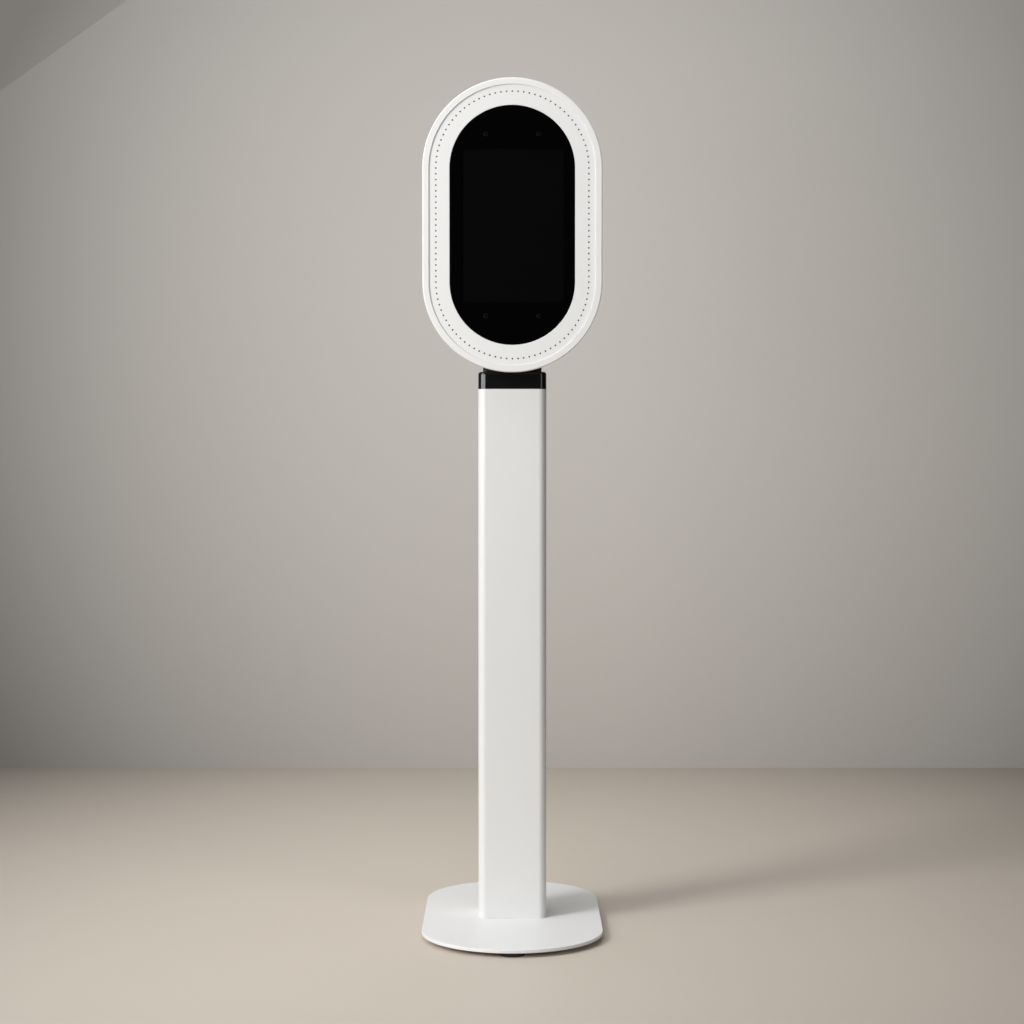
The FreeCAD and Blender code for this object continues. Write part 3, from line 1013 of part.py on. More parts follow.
lock_barrel = new_body("lock_barrel")
raise_round(lock_barrel, "XZ", DOOR_FRONT, f"{CAM_BACK} - side_gap - {DOOR_FRONT}", LOCK_AT,
            "lock_width")
raise_round(lock_barrel, "XZ", f"{DOOR_FRONT} - lock_flange_rise", "lock_flange_rise", LOCK_AT,
            "lock_flange")
drill(lock_barrel, "XZ", CAM_BACK, "cover_depth", LOCK_AT, "lock_plug + 2 * running_gap")

lock_plug = new_body("lock_plug")
raise_round(lock_plug, "XZ", f"{DOOR_FRONT} - lock_plug_rise",
            f"{CAM_BACK} - {DOOR_FRONT} + lock_plug_rise", LOCK_AT, "lock_plug")
key_slot = sketch_on(lock_plug, "XZ", f"{DOOR_FRONT} - lock_plug_rise")
rectangle(key_slot, "lock_side", DOOR_MIDDLE, "key_slot_width", "key_slot_height")
pocket(lock_plug, key_slot, "lock_plug / 2", reverse=True)
raise_round(lock_plug, "XZ", CAM_BACK, "cam_thickness + cam_rivet_rise", LOCK_AT, "cam_rivet")

lock_cam = new_body("lock_cam")
prism(lock_cam, "XZ", CAM_BACK, "cam_thickness", rounded_rectangle, "lock_side",
      f"{DOOR_MIDDLE} + (cam_length - cam_width) / 2", "cam_width", "cam_length",
      "cam_corner")
drill(lock_cam, "XZ", f"{CAM_BACK} + cam_thickness", "cam_thickness", LOCK_AT, "cam_rivet")

# ---------------------------------------------------------------- electronics and cables

DRIVER_FRONT = f"({SPINE_BACK} - driver_stand)"
DRIVER_REAR = f"({DRIVER_FRONT} - driver_board)"
driver_board = new_body("driver_board")
prism(driver_board, "XZ", DRIVER_REAR, "driver_board", rectangle, "0", DRIVER_MIDDLE,
      "driver_width", "driver_height")
drill(driver_board, "XZ", DRIVER_FRONT, "driver_board", DRIVER_POST_POINTS, "light_screw")
driver_posts = new_body("driver_posts")
raise_round(driver_posts, "XZ", DRIVER_FRONT, "driver_stand", DRIVER_POST_POINTS, "driver_post")
raise_round(driver_posts, "XZ", f"{DRIVER_REAR} - light_screw",
            "light_screw + driver_board + driver_stand + spine_thickness", DRIVER_POST_POINTS,
            "light_screw")
raise_round(driver_posts, "XZ", f"{DRIVER_REAR} - light_screw", "light_screw",
            DRIVER_POST_POINTS, "driver_catch")

POWER_OUTLET = ("outlet_side", f"{DRIVER_MIDDLE} + driver_height / 2 - outlet_margin")
TABLET_OUTLET = ("-outlet_side", f"{DRIVER_MIDDLE} - driver_height / 2 + outlet_margin")
driver_parts = new_body("driver_parts")
parts_sketch = sketch_on(driver_parts, "XZ", f"{DRIVER_REAR} - part_height")
rectangle(parts_sketch, "-heat_sink_side", f"{DRIVER_MIDDLE} + heat_sink_rise",
          "heat_sink_width", "heat_sink_height")
rectangle(parts_sketch, "choke_side", f"{DRIVER_MIDDLE} - choke_drop", "choke_width",
          "choke_height")
for outlet in (POWER_OUTLET, TABLET_OUTLET):
    rectangle(parts_sketch, *outlet, "outlet_width", "outlet_height")
pad(driver_parts, parts_sketch, "part_height")

OUTLET_AXIS = f"({DRIVER_REAR} - part_height / 2)"
cable("supply_cable", [("-30", SUPPLY_AXIS, f"{SUPPLY_MIDDLE} + supply_height / 2"),
                       ("-30", SUPPLY_AXIS, f"{SUPPLY_MIDDLE} + supply_height / 2 + 90"),
                       ("-30", NECK_AXIS, f"{SUPPLY_MIDDLE} + supply_height / 2 + 170"),
                       ("-30", NECK_AXIS, PIVOT),
                       ("-coupler_length", NECK_AXIS, PIVOT)], "supply_cable",
      "supply_cable * 1.7")
coupler_socket = new_body("coupler_socket")
raise_round(coupler_socket, "YZ", "-coupler_length", "coupler_length", PIVOT_POINT,
            "coupler_width")
coupler_plug = new_body("coupler_plug")
raise_round(coupler_plug, "YZ", "coupler_gap", "coupler_plug", PIVOT_POINT, "coupler_width")
cable("head_lead", [("coupler_gap + coupler_plug", NECK_AXIS, PIVOT),
                    ("neck_window_side", NECK_AXIS, PIVOT),
                    ("neck_window_side", f"{BRACKET_BACK} - 12", PIVOT),
                    ("outlet_side", OUTLET_AXIS, f"{PIVOT} - 22"),
                    ("outlet_side", OUTLET_AXIS,
                     f"{POWER_OUTLET[1]} + outlet_height / 2")],
      "head_cable", "head_cable * 1.5")
PLUG_BOTTOM = f"({HEAD_MIDDLE} - tablet_height / 2 - plug_length)"
tablet_plug = new_body("tablet_plug")
prism(tablet_plug, "XY", PLUG_BOTTOM, "plug_length", rectangle, "0", f"-{TABLET_AXIS}",
      "plug_width", "plug_thickness")
prism(tablet_plug, "XY", f"{PLUG_BOTTOM} + plug_length", "plug_nose", rectangle, "0",
      f"-{TABLET_AXIS}", "plug_nose_width", "plug_nose_thickness")
cable("tablet_lead", [("-outlet_side", OUTLET_AXIS, f"{TABLET_OUTLET[1]} - outlet_height / 2"),
                      ("-outlet_side", OUTLET_AXIS, CABLE_HOLE[1]),
                      ("cable_hole_side", OUTLET_AXIS, CABLE_HOLE[1]),
                      ("cable_hole_side", TABLET_AXIS, CABLE_HOLE[1]),
                      ("0", TABLET_AXIS, CABLE_HOLE[1]),
                      ("0", TABLET_AXIS, PLUG_BOTTOM)], "tablet_cable", "tablet_cable * 2")


# ---------------------------------------------------------------- check and write

doc.recompute()
for item in doc.Objects:
    if "Invalid" in item.State or "Error" in item.State:
        raise RuntimeError(f"{item.Label} did not compute: {item.State}")
os.makedirs("parts", exist_ok=True)
pieces = [item for item in doc.Objects
          if item.isDerivedFrom("PartDesign::Body") or item.TypeId == "Part::Feature"]
for piece in pieces:
    if piece.Shape.isNull() or not piece.Shape.isValid() or not piece.Shape.Solids:
        raise RuntimeError(f"{piece.Label} has no sound solid")
    piece.Shape.exportStep(f"parts/{piece.Label}.step")
    print(f"{piece.Label}: {len(piece.Shape.Solids)} solids, {piece.Shape.Volume / 1000:.1f} cm3")
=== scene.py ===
import math

import bpy
import bmesh
from mathutils import Euler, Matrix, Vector


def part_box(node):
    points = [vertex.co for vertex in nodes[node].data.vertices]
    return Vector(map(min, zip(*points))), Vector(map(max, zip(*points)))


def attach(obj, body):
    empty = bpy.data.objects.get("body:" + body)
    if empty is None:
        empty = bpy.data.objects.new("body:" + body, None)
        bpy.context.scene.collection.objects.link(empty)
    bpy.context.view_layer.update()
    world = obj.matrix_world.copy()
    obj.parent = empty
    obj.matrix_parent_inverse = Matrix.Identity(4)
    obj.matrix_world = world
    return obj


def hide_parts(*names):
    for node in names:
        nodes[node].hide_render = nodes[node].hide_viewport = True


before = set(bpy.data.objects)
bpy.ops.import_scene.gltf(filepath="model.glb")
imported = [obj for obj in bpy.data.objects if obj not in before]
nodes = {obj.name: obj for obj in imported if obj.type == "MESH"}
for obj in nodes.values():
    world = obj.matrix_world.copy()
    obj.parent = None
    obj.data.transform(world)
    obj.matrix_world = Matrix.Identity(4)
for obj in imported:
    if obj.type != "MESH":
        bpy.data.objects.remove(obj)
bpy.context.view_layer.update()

bpy.ops.object.select_all(action="DESELECT")

# ---- Camera ----------------------------------------------------------------------------
# A short telephoto at chest height, a few steps in front of the booth and tipped slightly
# down, so that the top face of the floor plate shows as a thin ellipse.
camera_place = (-0.0006, -3.887, 0.859)
camera_dip = 1.654
focal_length = 75.2
sensor_width = 36
farthest_seen = 60
bpy.ops.object.camera_add(location=camera_place,
                          rotation=(math.radians(90 - camera_dip), 0, 0))
camera = bpy.context.object
camera.data.lens = focal_length
camera.data.sensor_width = sensor_width
camera.data.clip_end = farthest_seen
bpy.context.scene.camera = camera

# ---- Floor, backdrop and lights ----------------------------------------------------------
# A pale matt floor in front of a warm grey backdrop, which is clear from behind. Both carry a
# painted pool of light that fades outwards into painted shade. A soft box high on the left is
# the main light, with a long upright strip beside it. Weaker boxes fill from the right, from
# above and from behind, and one lights the backdrop.
bpy.context.scene.view_settings.view_transform = "Standard"
# Painted light: the first colour is the painted pool of light, the second the painted shade it
# fades into.
floor_lit_and_shaded = (0.71, 0.634, 0.55), (0.19, 0.17, 0.15)
backdrop_lit_and_shaded = (0.64, 0.613, 0.572), (0.20, 0.19, 0.178)
backdrop_distance = 1.875
stage_size = 14
stage_reach = stage_size / 2
light_pool_reach = 2
floor_light_pool_middle = (0.1, 0.4)
backdrop_light_pool_middle = (0.4, 0.95)
floor_squash = 0.7
floor_roughness = 0.5
backdrop_roughness = 0.9
sky_strength = 0.26


def stage_light_pool_paint(name, colours, middle, squash, roughness):
    """Matt paint with a painted pool of light: pale round a spot, fading outwards into painted
    shade, and clear from behind.
    """
    paint = bpy.data.materials.new(name)
    paint.use_nodes = True
    tree = paint.node_tree
    shader = tree.nodes["Principled BSDF"]
    place = tree.nodes.new("ShaderNodeTexCoord")
    offset = tree.nodes.new("ShaderNodeMapping")
    offset.inputs["Location"].default_value = (-middle[0], -middle[1] * squash, 0)
    offset.inputs["Scale"].default_value = (1, squash, 1)
    tree.links.new(place.outputs["Object"], offset.inputs["Vector"])
    square = tree.nodes.new("ShaderNodeVectorMath")
    square.operation = "DOT_PRODUCT"
    tree.links.new(offset.outputs["Vector"], square.inputs[0])
    tree.links.new(offset.outputs["Vector"], square.inputs[1])
    # Painted falloff of the light pool, from the pale spot outwards into painted shade.
    light_pool_falloff = tree.nodes.new("ShaderNodeMapRange")
    light_pool_falloff.inputs["From Max"].default_value = light_pool_reach ** 2
    tree.links.new(square.outputs["Value"], light_pool_falloff.inputs["Value"])
    mix = tree.nodes.new("ShaderNodeMix")
    mix.data_type = "RGBA"
    mix.inputs["A"].default_value = (*colours[0], 1)
    mix.inputs["B"].default_value = (*colours[1], 1)
    tree.links.new(light_pool_falloff.outputs["Result"], mix.inputs["Factor"])
    tree.links.new(mix.outputs["Result"], shader.inputs["Base Color"])
    shader.inputs["Roughness"].default_value = roughness
    clear = tree.nodes.new("ShaderNodeBsdfTransparent")
    side = tree.nodes.new("ShaderNodeNewGeometry")
    two_sided = tree.nodes.new("ShaderNodeMixShader")
    tree.links.new(side.outputs["Backfacing"], two_sided.inputs["Fac"])
    tree.links.new(shader.outputs["BSDF"], two_sided.inputs[1])
    tree.links.new(clear.outputs["BSDF"], two_sided.inputs[2])
    tree.links.new(two_sided.outputs["Shader"], tree.nodes["Material Output"].inputs["Surface"])
    return paint


def stage_plane(name, place, tilt, paint):
    bpy.ops.mesh.primitive_plane_add(size=stage_size, location=place, rotation=(tilt, 0, 0))
    plane = bpy.context.object
    plane.name = name
    plane.data.materials.append(paint)


floor_middle = backdrop_distance - stage_reach
floor_light_pool_paint = stage_light_pool_paint("floor_light_pool_paint", floor_lit_and_shaded,
                          (floor_light_pool_middle[0], floor_light_pool_middle[1] - floor_middle),
                          floor_squash, floor_roughness)
backdrop_light_pool_paint = stage_light_pool_paint("backdrop_light_pool_paint", backdrop_lit_and_shaded,
                             (backdrop_light_pool_middle[0], backdrop_light_pool_middle[1] - stage_reach),
                             1, backdrop_roughness)
stage_plane("stage_floor", (0, floor_middle, 0), 0, floor_light_pool_paint)
stage_plane("stage_backdrop", (0, backdrop_distance, stage_reach), math.radians(90),
            backdrop_light_pool_paint)

world = bpy.data.worlds.new("studio")
bpy.context.scene.world = world
world.use_nodes = True
world.node_tree.nodes["Background"].inputs["Strength"].default_value = sky_strength


def soft_light(name, place, target, size, watts):
    bpy.ops.object.light_add(type="AREA", location=place)
    light = bpy.context.object
    light.name = name
    light.data.shape = "RECTANGLE"
    light.data.size, light.data.size_y = size
    light.data.energy = watts
    light.visible_camera = False
    aim = Vector(target) - Vector(place)
    light.rotation_euler = aim.to_track_quat("-Z", "Y").to_euler()


soft_light("key_light", place=(-2.5, -1.9, 2.6), target=(0.3, 0.9, 1.0),
           size=(1.0, 1.0), watts=78)
soft_light("side_light", place=(-1.81, -1.87, 1.10), target=(0, 0, 1.05),
           size=(3.2, 0.36), watts=33)
soft_light("fill_light", place=(2.6, -3.0, 1.8), target=(0, 0, 0.9),
           size=(1.4, 2.0), watts=17)
soft_light("top_light", place=(-0.6, -0.5, 3.3), target=(0, -0.1, 0.0),
           size=(1.6, 1.6), watts=24)
soft_light("back_light", place=(-1.0, 1.7, 2.3), target=(0, 0, 0.9),
           size=(1.4, 1.4), watts=7)
soft_light("wall_light", place=(0.2, 0.2, 3.4), target=(0.2, backdrop_distance, 1.0),
           size=(3.0, 1.0), watts=16)

# ---- Base plate ------------------------------------------------------------------------
# A laser-cut 6 mm steel plate shaped like a racetrack, its edges rolled over, finished in a
# fine white powder coat with a faint orange peel. It carries the column and the feet.
plate_steps = 160
plate_edge = 0.0012
plate_edge_steps = 4
fine_detail = 3
broad_scale = 9
broad_detail = 4
gloss_spread = 0.03
grain_depth = 0.0002
weld_distance = 1e-6
smooth_angle = 35
flat_weight = 80


def coat(name, colour, roughness, grain, relief, mottle=0.02, specular=0.5):
    """A sprayed or moulded finish: fine grain, faint mottling and a slightly uneven gloss."""
    material = bpy.data.materials.new(name)
    material.use_nodes = True
    tree = material.node_tree
    shader = tree.nodes["Principled BSDF"]
    shader.inputs["Specular IOR Level"].default_value = specular
    place = tree.nodes.new("ShaderNodeTexCoord")
    fine = tree.nodes.new("ShaderNodeTexNoise")
    fine.inputs["Scale"].default_value = grain
    fine.inputs["Detail"].default_value = fine_detail
    broad = tree.nodes.new("ShaderNodeTexNoise")
    broad.inputs["Scale"].default_value = broad_scale
    broad.inputs["Detail"].default_value = broad_detail
    for noise in (fine, broad):
        tree.links.new(place.outputs["Object"], noise.inputs["Vector"])
    shade = tree.nodes.new("ShaderNodeMix")
    shade.data_type = "RGBA"
    shade.inputs["A"].default_value = (*[part * (1 - mottle) for part in colour], 1)
    shade.inputs["B"].default_value = (*[min(1, part * (1 + mottle)) for part in colour], 1)
    tree.links.new(broad.outputs["Fac"], shade.inputs["Factor"])
    tree.links.new(shade.outputs["Result"], shader.inputs["Base Color"])
    gloss = tree.nodes.new("ShaderNodeMapRange")
    gloss.inputs["To Min"].default_value = roughness * (1 - gloss_spread)
    gloss.inputs["To Max"].default_value = min(1, roughness * (1 + gloss_spread))
    tree.links.new(broad.outputs["Fac"], gloss.inputs["Value"])
    tree.links.new(gloss.outputs["Result"], shader.inputs["Roughness"])
    bump = tree.nodes.new("ShaderNodeBump")
    bump.inputs["Strength"].default_value = relief
    bump.inputs["Distance"].default_value = grain_depth
    tree.links.new(fine.outputs["Fac"], bump.inputs["Height"])
    tree.links.new(bump.outputs["Normal"], shader.inputs["Normal"])
    return material


def finish(material, *names):
    """Puts a finish on CAD nodes that keep their own shape."""
    for name in names:
        nodes[name].data.materials.clear()
        nodes[name].data.materials.append(material)


def select_by(piece, kind, chosen):
    """Selects the vertices, edges or faces of a piece in edit mode that the test picks out."""
    bpy.ops.object.mode_set(mode="EDIT")
    bpy.ops.mesh.select_mode(type=kind)
    bpy.ops.mesh.select_all(action="DESELECT")
    mesh = bmesh.from_edit_mesh(piece.data)
    parts = {"VERT": mesh.verts, "EDGE": mesh.edges, "FACE": mesh.faces}[kind]
    for part in parts:
        if chosen(part):
            part.select_set(True)
    mesh.select_flush_mode()
    bmesh.update_edit_mesh(piece.data)


def pick(piece):
    """Leaves one object selected and active, out of edit mode."""
    bpy.ops.object.mode_set(mode="OBJECT")
    bpy.ops.object.select_all(action="DESELECT")
    piece.select_set(True)
    bpy.context.view_layer.objects.active = piece


def apply_modifier(piece, kind, **settings):
    """Adds one modifier and applies it, with the normals turned outwards first."""
    pick(piece)
    bpy.ops.object.mode_set(mode="EDIT")
    bpy.ops.mesh.select_all(action="SELECT")
    bpy.ops.mesh.normals_make_consistent(inside=False)
    bpy.ops.object.mode_set(mode="OBJECT")
    modifier = piece.modifiers.new(kind.title(), kind)
    for setting, number in settings.items():
        setattr(modifier, setting, number)
    bpy.ops.object.modifier_apply(modifier=modifier.name)


def settle(piece, material, slot, body, *replaced, smooth=smooth_angle):
    """Closes a modelled piece: normals outwards, soft shading, finish, body and CAD node."""
    pick(piece)
    bpy.ops.object.transform_apply(location=True, rotation=True, scale=True)
    bpy.ops.object.mode_set(mode="EDIT")
    bpy.ops.mesh.select_all(action="SELECT")
    bpy.ops.mesh.remove_doubles(threshold=weld_distance)
    bpy.ops.mesh.normals_make_consistent(inside=False)
    bpy.ops.object.mode_set(mode="OBJECT")
    bpy.ops.object.shade_smooth_by_angle(angle=math.radians(smooth))
    apply_modifier(piece, "WEIGHTED_NORMAL", keep_sharp=True, weight=flat_weight)
    piece.data.materials.clear()
    piece.data.materials.append(material)
    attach(piece, body)
    if replaced:
        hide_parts(*replaced)


def extrude(move):
    bpy.ops.mesh.extrude_region_move(TRANSFORM_OT_translate={"value": move})


def racetrack(name, width, length, place, steps, tilt=0.0):
    """A filled racetrack outline with round ends, lying flat unless tilted about X."""
    bpy.ops.object.select_all(action="DESELECT")
    bpy.ops.mesh.primitive_circle_add(vertices=steps, radius=width / 2, fill_type="NGON",
                                      rotation=(0, 0, math.pi / steps))
    piece = bpy.context.object
    piece.name = name
    bpy.ops.object.transform_apply(rotation=True)
    for side in (1, -1):
        select_by(piece, "VERT", lambda vert: vert.co.y * side > 0)
        bpy.ops.transform.translate(value=(0, side * (length - width) / 2, 0))
    bpy.ops.object.mode_set(mode="OBJECT")
    piece.rotation_euler.x = tilt
    piece.location = place
    bpy.ops.object.transform_apply(location=True, rotation=True)
    bpy.ops.object.mode_set(mode="EDIT")
    bpy.ops.mesh.select_all(action="SELECT")
    return piece


powder_white = coat("powder_white", (0.90, 0.90, 0.895), 0.40, grain=1800, relief=0.08,
                    mottle=0.005)
low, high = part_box("base_plate")
plate = racetrack("powder_coated_plate", high.x - low.x, high.y - low.y, (0, 0, low.z),
                  plate_steps)
extrude((0, 0, high.z - low.z))
select_by(plate, "EDGE", lambda edge: edge.verts[0].co.z == edge.verts[1].co.z)
bpy.ops.mesh.bevel(offset=plate_edge, segments=plate_edge_steps)
settle(plate, powder_white, "base_paint", "stand", "base_plate")

# ---- Rubber feet -----------------------------------------------------------------------
# Six moulded rubber pads, screwed to the plate from below. Each has a rounded tread ring and
# a well for its screw, and lifts the plate 8 mm off the floor.
foot_steps = 48
foot_edge = 0.0008
tread_width = 0.004
tread_depth = 0.0008
tread_round = 0.3
sort_digits = 4


def solids_of(node):
    """Lowest and highest corner of each separate solid of a CAD node."""
    mesh = bmesh.new()
    mesh.from_mesh(nodes[node].data)
    bmesh.ops.remove_doubles(mesh, verts=mesh.verts, dist=weld_distance)
    unseen = set(mesh.verts)
    boxes = []
    while unseen:
        group = [unseen.pop()]
        for vert in group:
            for edge in vert.link_edges:
                other = edge.other_vert(vert)
                if other in unseen:
                    unseen.remove(other)
                    group.append(other)
        corners = list(zip(*[vert.co for vert in group]))
        boxes.append((Vector(map(min, corners)), Vector(map(max, corners))))
    mesh.free()
    return sorted(boxes, key=lambda box: tuple(round(part, sort_digits) for part in box[0]))


def turned(name, steps, rings):
    """A round piece on the Z axis: a disc whose edge is drawn on through (radius, level) rings."""
    bpy.ops.object.select_all(action="DESELECT")
    radius, level = rings[0]
    bpy.ops.mesh.primitive_circle_add(vertices=steps, radius=radius, fill_type="NGON",
                                      location=(0, 0, level))
    piece = bpy.context.object
    piece.name = name
    bpy.ops.object.transform_apply(location=True)
    bpy.ops.object.mode_set(mode="EDIT")
    bpy.ops.mesh.select_all(action="SELECT")
    for next_radius, next_level in rings[1:]:
        extrude((0, 0, next_level - level))
        share = next_radius / radius
        bpy.ops.transform.resize(value=(share, share, 1), center_override=(0, 0, next_level))
        radius, level = next_radius, next_level
    bpy.ops.object.mode_set(mode="OBJECT")
    return piece


def copies(first, places, turn=(0, 0, 0)):
    """Copies a modelled piece to each place, turned alike, and joins them into one object."""
    made = []
    for place in places:
        pick(first)
        bpy.ops.object.duplicate(linked=False)
        copy = bpy.context.object
        copy.location = place
        copy.rotation_euler = turn
        bpy.ops.object.transform_apply(location=True, rotation=True)
        made.append(copy)
    name = first.name
    bpy.data.objects.remove(first)
    pick(made[0])
    for copy in made:
        copy.select_set(True)
    if len(made) > 1:
        bpy.ops.object.join()
    made[0].name = name
    return made[0]


foot_rubber = coat("foot_rubber", (0.018, 0.018, 0.018), 0.70, grain=900, relief=0.25)
feet = solids_of("rubber_feet")
low, high = feet[0]
foot_radius = (high.x - low.x) / 2
foot_height = high.z - low.z
screw_low, screw_high = solids_of("foot_screws")[0]
well_radius = screw_high.x - screw_low.x
foot = turned("moulded_feet", foot_steps, [
    (foot_radius - tread_width, foot_height), (foot_radius, foot_height),
    (foot_radius, foot_edge),
    (foot_radius - foot_edge * tread_round, foot_edge * tread_round),
    (foot_radius - foot_edge, 0), (foot_radius - foot_edge - tread_width, 0),
    (foot_radius - foot_edge - tread_width, tread_depth), (well_radius, tread_depth),
    (well_radius, foot_height / 2)])
feet_piece = copies(foot, [((low.x + high.x) / 2, (low.y + high.y) / 2, 0)
                           for low, high in feet])
settle(feet_piece, foot_rubber, "foot_rubber", "stand", "rubber_feet")
finish(foot_rubber, "clamp_pads")

# ---- Column ----------------------------------------------------------------------------
# A drawn rectangular aluminium tube with rounded corners and a 4 mm wall, powder coated in a
# smoother satin white. A hatch is cut in its rear wall near the foot.
column_corner = 0.014
column_wall = 0.004
corner_steps = 14
cut_edge = 0.0007
sharp_angle = 50
mostly = 0.9
hatch_lap = 0.006
hatch_end_lap = 0.012


def rounded_face(name, width, depth, corner, place, tilt=0.0):
    """A flat rounded rectangle, lying flat unless tilted about X."""
    bpy.ops.object.select_all(action="DESELECT")
    bpy.ops.mesh.primitive_plane_add(size=1, location=(0, 0, 0))
    piece = bpy.context.object
    piece.name = name
    piece.scale = (width, depth, 1)
    bpy.ops.object.transform_apply(scale=True)
    bpy.ops.object.mode_set(mode="EDIT")
    bpy.ops.mesh.select_all(action="SELECT")
    bpy.ops.mesh.bevel(affect="VERTICES", offset=corner, segments=corner_steps)
    bpy.ops.object.mode_set(mode="OBJECT")
    piece.rotation_euler.x = tilt
    piece.location = place
    bpy.ops.object.transform_apply(location=True, rotation=True)
    bpy.ops.object.mode_set(mode="EDIT")
    bpy.ops.mesh.select_all(action="SELECT")
    return piece


def soften(piece, width, segments=3):
    """Breaks every sharp edge of a finished shape with a small round."""
    apply_modifier(piece, "BEVEL", width=width, segments=segments, limit_method="ANGLE",
                   angle_limit=math.radians(sharp_angle))


def carve(piece, cutter):
    """Takes a closed cutter out of a piece and removes the cutter."""
    pick(cutter)
    bpy.ops.object.mode_set(mode="EDIT")
    bpy.ops.mesh.select_all(action="SELECT")
    bpy.ops.mesh.normals_make_consistent(inside=False)
    apply_modifier(piece, "BOOLEAN", object=cutter, operation="DIFFERENCE", solver="EXACT")
    bpy.data.objects.remove(cutter)


def cut_out(piece, low, high, corner=0.0005):
    """Cuts a box-shaped opening with rounded upright corners, seen from the front or rear."""
    bpy.ops.object.mode_set(mode="OBJECT")
    middle = (low + high) / 2
    cutter = rounded_face("cutter", high.x - low.x, high.z - low.z, corner,
                          (middle.x, high.y, middle.z), math.radians(90))
    extrude((0, low.y - high.y, 0))
    carve(piece, cutter)


column_coat = coat("column_coat", (0.85, 0.85, 0.84), 0.30, grain=1100, relief=0.03,
                   mottle=0.004)
low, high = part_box("column_tube")
column = rounded_face("drawn_column", high.x - low.x, high.y - low.y, column_corner,
                      (0, 0, low.z))
extrude((0, 0, high.z - low.z))
select_by(column, "FACE", lambda face: abs(face.normal.z) > mostly)
bpy.ops.mesh.delete(type="FACE")
bpy.ops.mesh.select_all(action="SELECT")
bpy.ops.mesh.normals_make_consistent(inside=False)
apply_modifier(column, "SOLIDIFY", thickness=column_wall, offset=-1)
soften(column, cut_edge)
hatch_low, hatch_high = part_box("hatch_cover")
cut_out(column, Vector((hatch_low.x + hatch_lap, high.y - 2 * column_wall,
                        hatch_low.z + hatch_end_lap)),
        Vector((hatch_high.x - hatch_lap, high.y + column_wall, hatch_high.z - hatch_end_lap)))
settle(column, column_coat, "column_coat", "stand", "column_tube")

# ---- Hatch cover -----------------------------------------------------------------------
# A flat lid over the hatch in the column's rear, with snap-in openings for the mains
# inlet and the power switch and rounded corners and edges.
hatch_corner = 0.006
hatch_edge = 0.0008
flange_lap = 0.003
switch_lap = 0.002
low, high = hatch_low, hatch_high
hatch = rounded_face("hatch_lid", high.x - low.x, high.z - low.z, hatch_corner,
                     (0, low.y, (low.z + high.z) / 2), math.radians(90))
extrude((0, high.y - low.y, 0))
soften(hatch, hatch_edge)
for node, lap in (("mains_inlet", flange_lap), ("power_switch", switch_lap)):
    flange_low, flange_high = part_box(node)
    cut_out(hatch, Vector((flange_low.x + lap, low.y - lap, flange_low.z + lap)),
            Vector((flange_high.x - lap, high.y + lap, flange_high.z - lap)))
settle(hatch, column_coat, "column_coat", "stand", "hatch_cover")

# ---- Screws and bolts ------------------------------------------------------------------
# Round heads with a hexagon socket, a rounded rim and a bevel on the shank's end. They are
# black on the head and the neck, and zinc plated under the plate, on the hatch and inside.
screw_steps = 24
tip_width = 0.7
tip_length = 0.15
rim_width = 0.16
rim_round = 0.3
sunk_rim = 0.4
socket_corners = 6
socket_width = 0.5
socket_depth = 0.6
just_over = 1.02
at_level = 1e-7


def metal(name, colour, roughness):
    """A plated or bare metal with fine directionless scuffs."""
    material = coat(name, colour, roughness, grain=2600, relief=0.08, mottle=0.05)
    material.node_tree.nodes["Principled BSDF"].inputs["Metallic"].default_value = 1
    return material


def socket_screws(node, shank, head_height, material, slot, body, turn, sunk=False):
    """Remodels a CAD group of screws, all alike, whose heads face the way the turn sends +Z."""
    boxes = solids_of(node)
    size = boxes[0][1] - boxes[0][0]
    facing = Vector((0, 0, 1))
    facing.rotate(Euler(turn))
    along = max(range(3), key=lambda axis: abs(facing[axis]))
    head = size[(along + 1) % 3] / 2
    length = size[along]
    rim = head * rim_width
    screw = turned(f"{node}_turned", screw_steps, [
        (shank / 2 * tip_width, -length), (shank / 2, -length + shank * tip_length),
        (shank / 2, -head_height), (shank / 2 if sunk else head, -head_height),
        (head, -rim * sunk_rim if sunk else -rim),
        (head - rim * (0 if sunk else rim_round), -rim * rim_round), (head - rim, 0)])
    bpy.ops.object.mode_set(mode="EDIT")
    bpy.ops.mesh.delete(type="FACE")
    bpy.ops.mesh.primitive_circle_add(vertices=socket_corners, radius=head * socket_width,
                                      location=(0, 0, 0))
    select_by(screw, "EDGE", lambda edge: all(abs(vert.co.z) < at_level for vert in edge.verts))
    bpy.ops.mesh.bridge_edge_loops()
    select_by(screw, "EDGE", lambda edge: all(
        vert.co.to_2d().length < head * socket_width * just_over and abs(vert.co.z) < at_level
        for vert in edge.verts))
    extrude((0, 0, -head_height * socket_depth))
    bpy.ops.mesh.edge_face_add()
    bpy.ops.object.mode_set(mode="OBJECT")
    places = []
    for low, high in boxes:
        place = (low + high) / 2
        place[along] = high[along] if facing[along] > 0 else low[along]
        places.append(place)
    settle(copies(screw, places, turn), material, slot, body, node)


